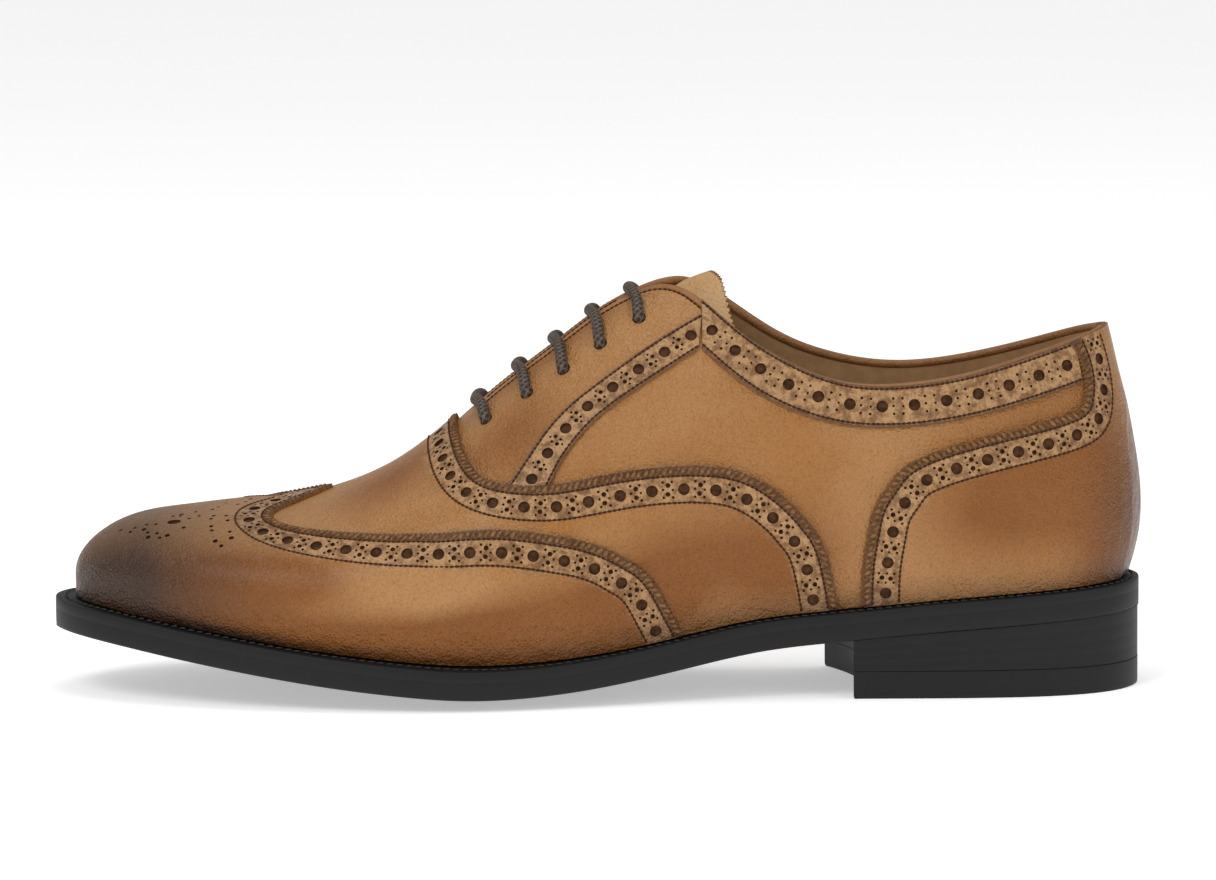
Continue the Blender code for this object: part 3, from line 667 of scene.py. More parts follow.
def masks(s, t):
    burnish = 0.10 + 1.5 * sum(k * bell(s, s0, rs) * bell(t, t0, rt) for s0, t0, rs, rt, k in BURNISH_AND_HIGHLIGHT_PATCHES)
    burnish = burnish + 0.6 * bell(t, 0.02, 0.13) * np.clip((s - 0.40) / 0.1, 0, 1)
    toe = np.clip((s - 0.77) / 0.16, 0, 1) ** 1.5 * (0.66 + 0.34 * bell(t, 0.25, 0.40))
    heel = np.clip(1 - s / 0.06, 0, 1) ** 1.2 * bell(t, 0.14, 0.22) * 0.7
    welt = bell(t, 0.0, 0.050) * (0.45 + 0.35 * np.clip((s - 0.6) / 0.2, 0, 1))
    return np.clip(burnish, 0, 1), np.clip(toe + heel + welt, 0, 0.96)


def nearest(points):
    """A search tree of points."""
    tree = KDTree(len(points))
    for i, p in enumerate(points):
        tree.insert(p, i)
    tree.balance()
    return tree


def paint(obj, places, points, edges=(), band=0.0, margin=0.6 * MM):
    """Masks on a finished mesh, read from the grid it was made of. edges: points of its sewn edges."""
    grid, rim = nearest(points), nearest(edges) if len(edges) else None
    vertices = obj.data.vertices
    spots, away = np.zeros((2, len(vertices))), np.full(len(vertices), 1.0)
    for i, vertex in enumerate(vertices):
        found = grid.find_n(vertex.co, 3)
        weight = np.array([1 / (d + 1e-6) for _, _, d in found])
        spots[:, i] = places[:, [k for _, k, _ in found]] @ (weight / weight.sum())
        if rim:
            away[i] = rim.find(vertex.co)[2]
    burnish, dark = masks(*spots)
    banded, seam = np.zeros((2, len(vertices)))
    if band:
        banded = np.clip((band + 0.4 * MM - away) / (0.8 * MM), 0, 1)
        # Dark strip near the sewn edge: partly the edge's own tone, partly painted shade between the lobes
        # and teeth.
        seam = np.clip((margin + 0.3 * MM - away) / (0.4 * MM), 0, 1) * 0.9
    for name, values in (("burnish", burnish), ("dark", dark), ("band", banded), ("seam", seam)):
        attribute(obj.data, name, values)

# %% [markdown]
# ## Creases
#
# A new shoe is nearly smooth, but the vamp has been bent once or twice in the making. Two soft troughs
# run over it, and a few shallow ones fan out from the instep on the quarter. They move the skin itself,
# under every panel alike.

# %% Creases
CREASES = [
    (0.640, 0.10, 0.665, 0.62, 0.014, -0.30), (0.690, 0.25, 0.700, 0.75, 0.012, -0.25),
    (0.430, 0.42, 0.520, 0.50, 0.012, -0.35), (0.400, 0.36, 0.500, 0.44, 0.012, -0.25),
    (0.340, 0.22, 0.360, 0.46, 0.014, -0.25), (0.560, 0.14, 0.600, 0.30, 0.012, -0.20),
]


def crease(s, t):
    """Depth of the soft troughs at a place, in metres."""
    depth = np.zeros(np.broadcast(s, t).shape)
    for s0, t0, s1, t1, width, deep in CREASES:
        ds, dt = s1 - s0, (t1 - t0) * 0.35
        share = np.clip(((s - s0) * ds + (t - t0) * 0.35 * dt) / (ds ** 2 + dt ** 2), 0, 1)
        away = np.hypot(s - s0 - share * ds, (t - t0) * 0.35 - share * dt)
        depth += deep * MM * np.exp(-(away / width) ** 2) * np.sin(np.pi * np.clip(share, 0.08, 0.92)) ** 0.5
    return depth


def laid(s, t, side, off):
    """A point laid on the creased upper."""
    return skin(s, t, side, off + crease(s, t))

# %% [markdown]
# ## The upper
#
# The quarters and the toe box are one hollow skin here, two millimetres thick. Its outside is the calf
# that shows between the panels, its inside is the lining, and its top edge is closed by a rolled binding.

# %% Upper
ROWS = 56
columns = np.unique(np.round(np.concatenate([spaced(150), np.linspace(0.41, 0.48, 30)]), 5))
columns = np.sort(np.append(columns[np.abs(columns - THROAT_END) > 0.002], THROAT_END))
points, faces, slots, places = [], [], [], []
for side in (-1, 1):
    s, t = np.meshgrid(columns, np.linspace(0, 1, ROWS + 1))
    t = t * topline(columns, side)
    low, high = laid(s, t, side, -WALL), laid(s, t, side, 0.0)
    is_open = columns[:-1] < THROAT_END - 1e-6
    groups = sheet(low, high, ("first_row", "last_row"), sum(map(len, points)), is_open)
    for slot, group in enumerate(groups):
        faces += group if side < 0 else [face[::-1] for face in group]
        slots += [slot] * len(group)
    points.append(flattened(low, high))
    places.append(np.tile(np.stack([s.ravel(), t.ravel()]), 2))
upper_points, upper_places = np.concatenate(points), np.concatenate(places, 1)
upper = mesh_piece("upper_skin", upper_points, faces, [calf_tan, cut_leather, lining], slots)
print("upper:", len(upper.data.polygons), "faces")

# %% [markdown]
# ## Scattering on points
#
# Stitches, teeth and punch marks all repeat along a line, so one geometry-nodes tree serves them: it puts
# a small shape on every point, turned to the point's normal and to the line, and scaled by the point's
# size.

# %% The scatter tree
def node_group(name, sockets, build):
    """A geometry-nodes tree: what build(tree, given) makes becomes real and takes a finish."""
    tree = bpy.data.node_groups.new(name, "GeometryNodeTree")
    for label, kind in {**sockets, "Finish": "Material"}.items():
        tree.interface.new_socket(label, in_out="INPUT", socket_type="NodeSocket" + kind)
    tree.interface.new_socket("Result", in_out="OUTPUT", socket_type="NodeSocketGeometry")
    given = add(tree, "NodeGroupInput").outputs
    real = add(tree, "GeometryNodeRealizeInstances", Geometry=build(tree, given))
    finish = add(tree, "GeometryNodeSetMaterial", Geometry=real.outputs[0], Material=given["Finish"])
    add(tree, "NodeGroupOutput", _0=finish.outputs[0])
    return tree


def scatter_nodes(tree, given):
    up, along, size = (
        add(tree, "GeometryNodeInputNamedAttribute", {"data_type": "FLOAT_VECTOR"}, Name=name).outputs[0]
        for name in ("normal_way", "line_way", "size"))
    shape = add(tree, "GeometryNodeObjectInfo", Object=given["Shape"])
    stand = add(tree, "FunctionNodeAlignRotationToVector", {"axis": "Z"}, Vector=up)
    turn = add(tree, "FunctionNodeAlignRotationToVector", {"axis": "X", "pivot_axis": "Z"},
               Rotation=stand.outputs[0], Vector=along)
    return add(tree, "GeometryNodeInstanceOnPoints", Points=given["Points"], Scale=size,
               Instance=shape.outputs["Geometry"], Rotation=turn.outputs[0]).outputs[0]


def cord_nodes(tree, given):
    path = add(tree, "GeometryNodeMeshToCurve", Mesh=given["Lines"])
    ring = add(tree, "GeometryNodeCurvePrimitiveCircle", Resolution=5, Radius=given["Radius"])
    return add(tree, "GeometryNodeCurveToMesh", Curve=path.outputs[0], Profile_Curve=ring.outputs[0],
               Fill_Caps=True).outputs[0]


SCATTER = node_group("scatter_along", {"Points": "Geometry", "Shape": "Object"}, scatter_nodes)
CORDS = node_group("cord_along", {"Lines": "Geometry", "Radius": "Float"}, cord_nodes)


def grown(name, mesh, tree, **inputs):
    """A mesh taken through a tree, as a new plain object."""
    obj = placed(name + "_source", mesh)
    make = obj.modifiers.new(tree.name, "NODES")
    make.node_group = tree
    for item in tree.interface.items_tree:
        if item.name in inputs:
            make[item.identifier] = inputs[item.name]
    return evaluated_copy(obj, name)


def scattered(name, points, normals, lines, sizes, shape, finish):
    """One plain mesh of the small shape repeated on all the points."""
    mesh = bpy.data.meshes.new(name)
    mesh.from_pydata([tuple(p) for p in points], [], [])
    for key, values in (("normal_way", normals), ("line_way", lines), ("size", sizes)):
        attribute(mesh, key, values, "FLOAT_VECTOR")
    return grown(name, mesh, SCATTER, Shape=shape, Finish=finish)


def small_shape(name, build, turn=0.0, **settings):
    """A little mesh that the scatter tree repeats."""
    bm = bmesh.new()
    build(bm, **settings)
    bmesh.ops.rotate(bm, verts=bm.verts, matrix=Quaternion((0, 1, 0), turn).to_matrix())
    mesh = bpy.data.meshes.new(name)
    bm.to_mesh(mesh)
    bm.free()
    mesh.shade_smooth()
    return placed(name, mesh)


bead_shape = small_shape("bead", bmesh.ops.create_uvsphere, np.pi / 2, u_segments=6, v_segments=4, radius=0.5)
pin_shape, fine_pin_shape = (
    small_shape(name, bmesh.ops.create_cone, cap_ends=True, segments=sides, radius1=0.5, radius2=0.5,
                depth=1.0)
    for name, sides in (("pin", 18), ("fine_pin", 8)))

# %% [markdown]
# ## Lines of stitches and rows of holes
#
# A seam is two rows of lockstitch, seven or eight to the centimetre. Between the rows the punch makes a
# large hole and then a cluster of small ones, over and over: that is the broguing.

# %% Stitches
STITCH = 1.4 * MM
STITCH_SIZE = (1.3 * MM, 0.74 * MM, 0.56 * MM)
CHANNEL = 0.17 * MM
RIM_CLEAR = 0.006
seams, channels = [], []


def under_rim(line, side):
    """Only the places that lie on the upper, not over its open top."""
    return line[:, (line[0] > THROAT_END) | (line[1] < topline(line[0], side) - RIM_CLEAR)]


def on_line(line, side, off):
    """Points of a line with their normals and the line's direction."""
    point, normal, _, _ = directions(line[0], line[1], side, off + crease(line[0], line[1]))
    return point, normal, unit(np.gradient(point, axis=0))


def sew(line, side, off, pitch=STITCH, size=STITCH_SIZE, tilt=0.0, channel=True):
    """Keeps one row of stitches for later, and the thread channel that it lies in."""
    line = under_rim(line, side)
    if line.shape[1] < 3:
        return
    if channel:
        point, normal, way = on_line(even(line, side, off, 1.0 * MM), side, off)
        channels.append(point - 0.04 * MM * normal)
    row = even(line, side, off, pitch, pitch / 2)
    point, normal, way = on_line(row, side, off + 0.02 * MM)
    across = np.cross(normal, way)
    way = way * np.cos(tilt) + across * np.sin(tilt)
    seams.append((point, normal, way, np.tile(size, (len(point), 1))))


def corded(name, lines, radius, finish):
    """One mesh of a thin cord along each line of points."""
    edges, start = [], 0
    for line in lines:
        edges += [(k, k + 1) for k in range(start, start + len(line) - 1)]
        start += len(line)
    mesh = bpy.data.meshes.new(name)
    mesh.from_pydata([tuple(p) for p in np.concatenate(lines)], edges, [])
    done = grown(name, mesh, CORDS, Radius=radius, Finish=finish)
    smooth(done.data, 80)
    return done


def sewn(name, finish):
    """All the kept rows as one mesh."""
    parts = [np.concatenate(column) for column in zip(*seams)]
    seams.clear()
    return scattered(name, *parts, bead_shape, finish)

# %% Holes
LARGE_HOLE, HOLE_STEP = 3.3 * MM, 8.7 * MM
CUT_DEEP, CUT_PROUD = 0.72 * MM, 0.8 * MM
CUT_DEPTH, CUT_LIFT = CUT_DEEP + CUT_PROUD, (CUT_PROUD - CUT_DEEP) / 2
CLUSTER = [
    (0.1, 1.2, 1.4), (-0.1, -1.2, 1.4), (-1.3, 2.15, 0.8), (1.3, 2.1, 0.75),
    (-1.25, -2.1, 0.75), (1.3, -2.15, 0.8), (-1.35, 0.1, 0.7), (1.35, -0.1, 0.75),
]


def punch(line, side, off, step=HOLE_STEP, cluster=CLUSTER, start=HOLE_STEP / 3):
    """Large and small punches along a line: (points, normals, ways, sizes) of each kind."""
    point, normal, way = on_line(under_rim(even(line, side, off, step / 2, start), side), side, off)
    across = np.cross(normal, way)
    large = [(point[i] + CUT_LIFT * normal[i], normal[i], way[i], (LARGE_HOLE, LARGE_HOLE, CUT_DEPTH))
             for i in range(0, len(point), 2)]
    small = [(point[i] + a * MM * way[i] + b * MM * across[i] + CUT_LIFT * normal[i], normal[i], way[i],
              (d * MM, d * MM, CUT_DEPTH)) for i in range(1, len(point), 2) for a, b, d in cluster]
    return large, small


def cut(obj, large, small):
    """Punches the holes: the walls and floors of the cuts take the hole finish, the panel's last slot."""
    slot = len(obj.data.materials) - 1
    for name, marks, shape in (("large_cuts", large, pin_shape), ("small_cuts", small, fine_pin_shape)):
        if not marks:
            continue
        cutter = scattered(name, *(np.array(column) for column in zip(*marks)), shape, punched)
        cutter.data.materials.clear()
        for material in obj.data.materials:
            cutter.data.materials.append(material)
        cutter.data.polygons.foreach_set("material_index", [slot] * len(cutter.data.polygons))
        boolean = obj.modifiers.new(name, "BOOLEAN")
        boolean.operation, boolean.solver, boolean.object = "DIFFERENCE", "MANIFOLD", cutter
        obj = evaluated_copy(obj, obj.name)
        bpy.data.objects.remove(cutter)
    smooth(obj.data)
    return obj

# %% [markdown]
# ## The panels
#
# A panel is a thin solid between two layers of the last. Its rows follow the girth, and its first column
# is the pinked edge: every other point is pushed out by a tooth.

# %% Panel builder
LIFTED = 0.05 * MM


def toothed(line, off, outward):
    """The lateral edge with every other point pushed out along the surface."""
    point, normal, along, up = directions(line[0], line[1], -1, off)
    way = unit(np.cross(normal, np.gradient(point, axis=0)))
    way *= np.where((way * along).sum(-1) * outward > 0, 1, -1)[:, None]
    push = np.where(np.arange(line.shape[1]) % 2, 0.5, -0.5) * TOOTH_DEPTH
    s, t = line + push * in_places(way, along, up)
    return s, np.clip(t, 0, 1)


def crossing(s, t, inner, outer, put=laid):
    """Grids of a panel that runs over the instep, from one welt to the other, and its places."""
    back = slice(-2, None, -1)
    low, high = (
        np.concatenate([put(s, t, -1, off), put(s[back], t[back], 1, np.broadcast_to(off, s.shape)[back])])
        for off in (inner, outer))
    return low, high, np.concatenate([np.stack([s, t], -1), np.stack([s[back], t[back]], -1)])


def finished(name, grids, walls, edges, band, large, small, margin=2.2 * MM):
    """A panel's mesh from its two grids and their places, punched and painted."""
    low, high, places = grids
    outside, rims, inside = sheet(low, high, walls)
    slots = [0] * len(outside) + [1] * len(rims) + [0] * len(inside)
    both = flattened(low, high)
    obj = mesh_piece(name, both, outside + rims + inside, [calf_tan, cut_leather, punched], slots)
    obj = cut(obj, large, small)
    paint(obj, flattened(places, places).T, both, edges, band, margin)
    print(name, len(obj.data.polygons), "faces")
    return obj


def broguing(line, lies, toward):
    """Both rows of stitches and the holes between them, on both sides of the shoe."""
    large, small = [], []
    for side in SIDES.values():
        inward = {share: shifted(line, side, lies, SEAM_IN + share * BAND_WIDTH, toward * side)
                  for share in (0, 1, 0.5)}
        sew(inward[0], side, lies)
        sew(inward[1], side, lies)
        found = punch(inward[0.5], side, lies)
        large += found[0]
        small += found[1]
    return large, small


def sewn_panel(name, grids, walls, line, lies, large, small):
    """A panel with a brogued band along its pinked edge, the line."""
    edges = np.concatenate([laid(line[0], line[1], side, lies) for side in (-1, 1)])
    return finished(name, grids, walls, edges, SEAM_IN + BAND_WIDTH, large, small)


def over_instep(line, lies, under, front, across):
    """Grids of a panel from its pinked edge forward to its front."""
    edge_s, edge_t = toothed(line, lies, -1)
    s = edge_s[:, None] + (front - edge_s)[:, None] * across
    t = edge_t[:, None] + (line[1] - edge_t)[:, None] * np.clip(across * 6, 0, 1)
    t[-1] = 1.0
    return crossing(s, t, under + LIFTED, lies)

# %% Vamp
UNDER_WING = 0.014
holes = broguing(vamp_line, VAMP_LIES, -1)
across = np.concatenate([np.linspace(0, 0.14, 12)[:-1], np.linspace(0.14, 1, 22)])
grids = over_instep(vamp_line, VAMP_LIES, 0.0, WING_EDGE("s", vamp_line[1]) + UNDER_WING, across)
vamp = sewn_panel("vamp_panel", grids, EVERY_WALL, vamp_line, VAMP_LIES, *holes)

# %% [markdown]
# ## Wing cap
#
# The toe cap is cut in a W: its wings run back along both sides, and its peak points up the instep. It
# carries the same pinked band as the vamp, and a medallion of punch marks on the toe.

# %% Medallion
MEDALLION = [
    (0.926, 0.621, 1.1), (0.915, 0.612, 0.8), (0.908, 0.632, 1.1), (0.918, 0.655, 0.8), (0.927, 0.668, 0.8),
    (0.931, 0.705, 1.1), (0.920, 0.752, 0.8), (0.929, 0.760, 0.8), (0.940, 0.740, 0.8), (0.944, 0.700, 0.8),
    (0.954, 0.757, 0.8), (0.905, 0.835, 0.8), (0.897, 0.850, 1.0), (0.884, 0.868, 0.8), (0.898, 0.830, 0.8),
    (0.880, 0.812, 0.8), (0.868, 0.880, 0.9), (0.857, 0.964, 0.8), (0.863, 0.905, 0.8), (0.866, 0.800, 0.9),
    (0.868, 0.770, 0.8), (0.867, 0.700, 0.9), (0.866, 0.665, 0.8), (0.862, 0.582, 1.1), (0.856, 0.548, 0.9),
    (0.847, 0.604, 1.1), (0.849, 0.650, 0.8), (0.852, 0.745, 0.9), (0.854, 0.790, 0.8), (0.893, 0.700, 0.9),
    (0.889, 0.790, 0.8), (0.845, 0.920, 0.8), (0.838, 0.950, 0.8), (0.834, 0.99, 0.9),
]
HEART, MEDALLION_WIDER = (0.903, 0.764, 3.9, 3.0), 1.4


def medallion(large, small):
    """Adds the toe's punch marks to both lists."""
    dots = [(s, t, MEDALLION_WIDER * d, MEDALLION_WIDER * d) for s, t, d in MEDALLION]
    for side in SIDES.values():
        for marks, kept in ((dots, small), ([HEART], large)):
            for s, t, wide, deep in marks:
                point, normal, along, _ = directions(np.array([s]), np.array([t]), side, WING_LIES)
                kept.append((point[0] + CUT_LIFT * normal[0], normal[0], unit(along)[0],
                             (wide * MM, deep * MM, CUT_DEPTH)))

# %% Wing cap
holes = broguing(wing_line, WING_LIES, -1)
medallion(*holes)
across = np.concatenate([np.linspace(0, 0.12, 12)[:-1], 0.12 + 0.88 * np.sin(np.linspace(0, np.pi / 2, 28))])
grids = over_instep(wing_line, WING_LIES, VAMP_LIES, 1.0, across)
wing = sewn_panel("wing_cap_panel", grids, EVERY_WALL[:3], wing_line, WING_LIES, *holes)

# %% [markdown]
# ## Heel counter
#
# The counter wraps the heel and sends a narrow strip up the back seam. Its two edges are the same line,
# once on each side.

# %% Heel counter
BELOW_RIM = 0.003
holes = broguing(counter_line, COUNTER_LIES, 1)
edge_s, edge_t = toothed(counter_line, COUNTER_LIES, 1)
spread = 1 - np.concatenate([np.linspace(0, 0.16, 11)[:-1], np.linspace(0.16, 1, 20)])[::-1]
rise = (counter_line[1] / TOP.rows[0, 1]) ** 6
halves = []
for side in SIDES.values():
    s = edge_s[:, None] * spread
    t = counter_line[1][:, None] + (edge_t - counter_line[1])[:, None] * np.clip(spread * 6 - 5, 0, 1)
    t = t + (topline(s, side) - TOP.rows[0, 1] - BELOW_RIM) * rise[:, None]
    halves.append((laid(s, t, side, LIFTED), laid(s, t, side, COUNTER_LIES), np.stack([s, t], -1)))
grids = [np.concatenate([left[:, ::-1], right[:, 1:]], 1) for left, right in zip(*halves)]
counter = sewn_panel("heel_counter_panel", grids, EVERY_WALL, counter_line, COUNTER_LIES, *holes)

# %% [markdown]
# ## Straps
#
# The facing strap and the collar strap are plain-edged bands with one row of stitches along each side and
# the broguing between. They meet in a mitred corner under the top eyelet.

# %% Straps
UNDER_VAMP, SEAM_SHARE, MITRE = 0.07, 0.07, 0.004
COLLAR_FROM, COLLAR_RUN = 0.041, 0.366
FACING_STEP, FACING_START, COLLAR_STEP, COLLAR_START = 8.3 * MM, 3.0 * MM, 8.6 * MM, 4.0 * MM
PAIR = [
    (0.9, 0.85, 1.2), (-0.8, -0.8, 1.25), (0.85, -0.95, 0.85), (-0.9, 0.9, 0.8), (0.1, 2.1, 0.7),
    (-0.1, -2.1, 0.7),
]


def strap(name, side, s, t, lines, step, cluster, start):
    """A plain-edged band: seams along the first and last line, holes along the middle one."""
    holes = punch(even(lines[1], side, STRAP_LIES, 1 * MM), side, STRAP_LIES, step, cluster, start)
    sew(lines[0], side, STRAP_LIES)
    sew(lines[2], side, STRAP_LIES)
    grids = laid(s, t, side, LIFTED), laid(s, t, side, STRAP_LIES), np.stack([s, t], -1)
    rim = np.concatenate([grids[1][0], grids[1][-1]])
    return finished(name + "_panel", grids, EVERY_WALL, rim, 20 * MM, *holes, 0.1 * MM)


straps = []
across = np.linspace(0, 1, 12)[:, None]
for name, side in SIDES.items():
    u = np.linspace(-UNDER_VAMP, 1, 95)
    front = np.stack([FACING("front_s", u), FACING("front_t", u)])
    rear = np.stack([FACING("rear_s", u), FACING("rear_t", u)])
    s, t = (rear[k] + across * (front[k] - rear[k]) for k in (0, 1))
    lines = [front + SEAM_SHARE * (rear - front), (front + rear) / 2, rear + SEAM_SHARE * (front - rear)]
    straps.append(strap("facing_strap_" + name, side, s, t, lines, FACING_STEP, PAIR, FACING_START))
    s = COLLAR_FROM + np.outer(np.full(12, COLLAR_RUN), np.linspace(0, 1, 170))
    t = topline(s, side) - MITRE - TOP("band", s) * (1 - across)
    lines = [np.stack([s[0], topline(s[0], side) - MITRE - TOP("band", s[0]) * (1 - share)])
             for share in (SEAM_SHARE, 0.5, 1 - SEAM_SHARE)]
    straps.append(strap("collar_strap_" + name, side, s, t, lines, COLLAR_STEP, CLUSTER[2:], COLLAR_START))

# %% Facing seams
RIM_SEAM, FACING_SEAMS = 1.7 * MM, (0.932, 0.886)
FACING_RUN, CORNER_RUN = np.linspace(0.472, 0.612, 160), np.linspace(0.400, 0.468, 160)
for side in SIDES.values():
    for share in FACING_SEAMS:
        sew(np.stack([FACING_RUN, np.full(len(FACING_RUN), share)]), side, 0.0)
    rim = even(np.stack([CORNER_RUN, topline(CORNER_RUN, side)]), side, 0.0, 0.8 * MM)
    sew(shifted(rim, side, 0.0, RIM_SEAM, -side), side, 0.0)
stitches = sewn("stitches", thread)
channel_cords = corded("thread_channels", channels, CHANNEL, thread)

# %% [markdown]
# ## Pinked margins
#
# Outside the upper row of stitches, the cut teeth curl up a little and catch the wax, so the margin reads
# as a fine braid. A row of small slanted lobes along it gives that.

# %% Margins
LOBE_PITCH, LOBE_SIZE, LOBE_TILT = 1.75 * MM, (2.5 * MM, 1.25 * MM, 0.95 * MM), 0.95
LOBE_IN = 1.1 * MM
for side in SIDES.values():
    for line, off, toward in ((wing_line, WING_LIES, 1), (vamp_line, VAMP_LIES, 1),
                              (counter_line, COUNTER_LIES, -1)):
        row = shifted(line, side, off, LOBE_IN, toward * -side)
        sew(row, side, off, LOBE_PITCH, LOBE_SIZE, LOBE_TILT * -side * toward, False)
margins = sewn("pinked_margin", gimp_leather)

# %% [markdown]
# ## Binding
#
# The topline is rolled: a strip of calf is folded over the raw edge. It follows the topline from the back
# seam to the facings' corner and down the throat.

# %% Binding
def tube(name, path, radius, around, material, wave=None):
    """A closed round cord along a path, with an optional relief wave(length, angle)."""
    u = np.cross(unit(np.gradient(path, axis=0))[0], (0.3, 0.2, 1.0))
    length, angle = run(path), np.arange(around) * 2 * np.pi / around
    radius = np.broadcast_to(radius, len(path))
    relief = np.array([wave(place, angle) if wave else 0 * angle for place in length])
    points = []
    for p, way, r in zip(path, unit(np.gradient(path, axis=0)), radius[:, None] * (1 + relief)):
        u = unit(u - way * (u @ way))
        points += list(p + (r * np.cos(angle))[:, None] * u + (r * np.sin(angle))[:, None] * np.cross(way, u))
    ends = len(points) - around
    faces = [(i + k, i + (k + 1) % around, i + around + (k + 1) % around, i + around + k)
             for i in range(0, ends, around) for k in range(around)]
    faces += [tuple(range(around))[::-1], tuple(range(ends, ends + around))]
    obj = mesh_piece(name, points, faces, [material])
    if wave:
        attribute(obj.data, "strand", (relief - relief.min()) / (relief.max() - relief.min()))
    return obj


ROLL_RADIUS, THROAT_RADIUS = 1.25, 0.90
bindings = []
for name, side in SIDES.items():
    parts = (0.0005, 0.40, 150), (0.402, 0.48, 60), (0.483, 0.63, 50)
    s = np.concatenate([np.linspace(*part) for part in parts])
    t = topline(s, side)
    path = laid(s, t, side, -WALL / 2)
    radius = ROLL_RADIUS - (ROLL_RADIUS - THROAT_RADIUS) * np.clip((s - 0.45) / 0.05, 0, 1)
    binding = tube("binding_" + name, path, radius * MM, 12, calf_bound)
    paint(binding, np.stack([s, t]), path)
    bindings.append(binding)

# %% [markdown]
# ## Tongue
#
# The tongue lies under the facings and stands up behind them. Its end is pinked, and its back is lined.

# %% Tongue
DEEPER, PINK, TONGUE_END, TONGUE_SLANT = 3.3, 0.0012, 0.400, 0.085
along = np.linspace(0, 1, 80)
share = np.concatenate([np.linspace(TONGUE_SIDE, 0.97, 32), np.linspace(0.975, 1, 10)])
end = TONGUE_END - TONGUE_SLANT * (1 - share) - np.where(np.arange(len(share)) % 2, PINK, -PINK)
s = end[:, None] + (TONGUE_FRONT - end)[:, None] * along
t = np.repeat(share[:, None], len(along), 1)
under = TONGUE("under", s)
tucked = np.clip((np.minimum(topline(s, 1), 0.93) + 0.11 - t) / 0.08, 0, 1)
under = MM * (under + tucked * np.maximum(DEEPER - under, 0))
low, high, spots = crossing(s, t, -under - TONGUE_THICK, -under, skin)
groups = sheet(low, high)
slots = [slot for slot, group in enumerate(groups) for _ in group]
both = flattened(low, high)
tongue = mesh_piece("tongue_leather", both, sum(groups, []), [calf_pale, cut_leather, lining], slots)
paint(tongue, flattened(spots, spots).T, both)

# %% [markdown]
# ## Lace
#
# One round braided cord, waxed, three millimetres thick. It crosses over the throat five times and runs
# under the facings between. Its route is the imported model's, and the braid is a relief of crossing
# strands.

# %% Lace
OVER, SAG, BELOW = LACE / 2 + 0.2 * MM, 0.8 * MM, -WALL - APART - LACE / 2 - 0.35 * MM
RISE, REACH = 2.3 * MM, 2.4 * MM
STRANDS, BRAID_PITCH, RELIEF, AROUND = 4, 5.2 * MM, 0.13, 20


def eyelet_axes(s0, t0, side):
    """Centre of an eyelet, with its normal, upward and rearward directions."""
    up = skin(s0, t0 + 0.01, side) - skin(s0, t0 - 0.01, side)
    rear = skin(s0 - 0.01, t0, side) - skin(s0 + 0.01, t0, side)
    normal, up, rear = unit(np.stack([np.cross(up, rear) * side, up, rear]))
    return skin(s0, t0, side), normal if normal[2] > 0 else -normal, up, rear


def way_out(s0, t0, side):
    """The lace's points at an eyelet, from inside the skin to above it."""
    centre, normal, up, _ = eyelet_axes(s0, t0, side)
    return [centre - 0.6 * WALL * normal, centre + 0.3 * MM * normal,
            centre + 0.9 * OVER * normal + RISE * up]


route = []
for k, (s0, t0) in enumerate(EYELETS):
    first, last = (1, -1) if k % 2 else (-1, 1)
    route += way_out(s0, t0, first)
    for t, side in ((0.88, first), (1.0, first), (0.88, last)):
        route.append(skin(s0 + BAR_SKEW * (1.0 if t == 1 else 0.6), t, side, OVER - (SAG if t == 1 else 0)))
    route += way_out(s0, t0, last)[::-1]
    if k + 1 < len(EYELETS):
        centre, normal, _, rear = eyelet_axes(s0, t0, last)
        after, normal_after, _, rear_after = eyelet_axes(*EYELETS[k + 1], last)
        start, stop = centre + BELOW * normal, after + BELOW * normal_after
        route += [start + REACH * rear, (start + stop) / 2 - 0.1 * MM * normal, stop - REACH * rear_after]
route = np.array(route)
length = run(route)
path = np.stack([curve(length, route[:, c], np.linspace(0, length[-1], 760)) for c in range(3)], -1)


def strands(length, angle):
    turn = 2 * np.pi * length / BRAID_PITCH
    left, right = np.cos(STRANDS * (angle + turn)), np.cos(STRANDS * (angle - turn))
    return RELIEF * (np.maximum(np.maximum(left, right), 0) - 0.6)


lace = tube("braided_lace", path, LACE / 2 * 1.04, AROUND, braid, strands)
print("lace:", round(length[-1] / MM), "mm,", len(lace.data.polygons), "faces")

# %% [markdown]
# ## Eyelets
#
# The lace goes through plain punched holes, five in each facing. They are cut through the skin here.

# %% Eyelets
EYELET_CUT = 3.9 * MM
marks = []
for side in SIDES.values():
    for s0, t0 in EYELETS:
        centre, normal, up, rear = eyelet_axes(s0, t0, side)
        marks.append((centre - WALL / 2 * normal, normal, rear, (EYELET_CUT, EYELET_CUT, 5 * MM)))
upper = cut(upper, marks, [])
paint(upper, upper_places, upper_points)

# %% [markdown]
# ## Sole
#
# Welt, outsole and stacked heel are leather layers, trimmed together and inked black. Their edges are
# slightly rounded by the trimming iron, and the heel still shows its layers as fine level lines.

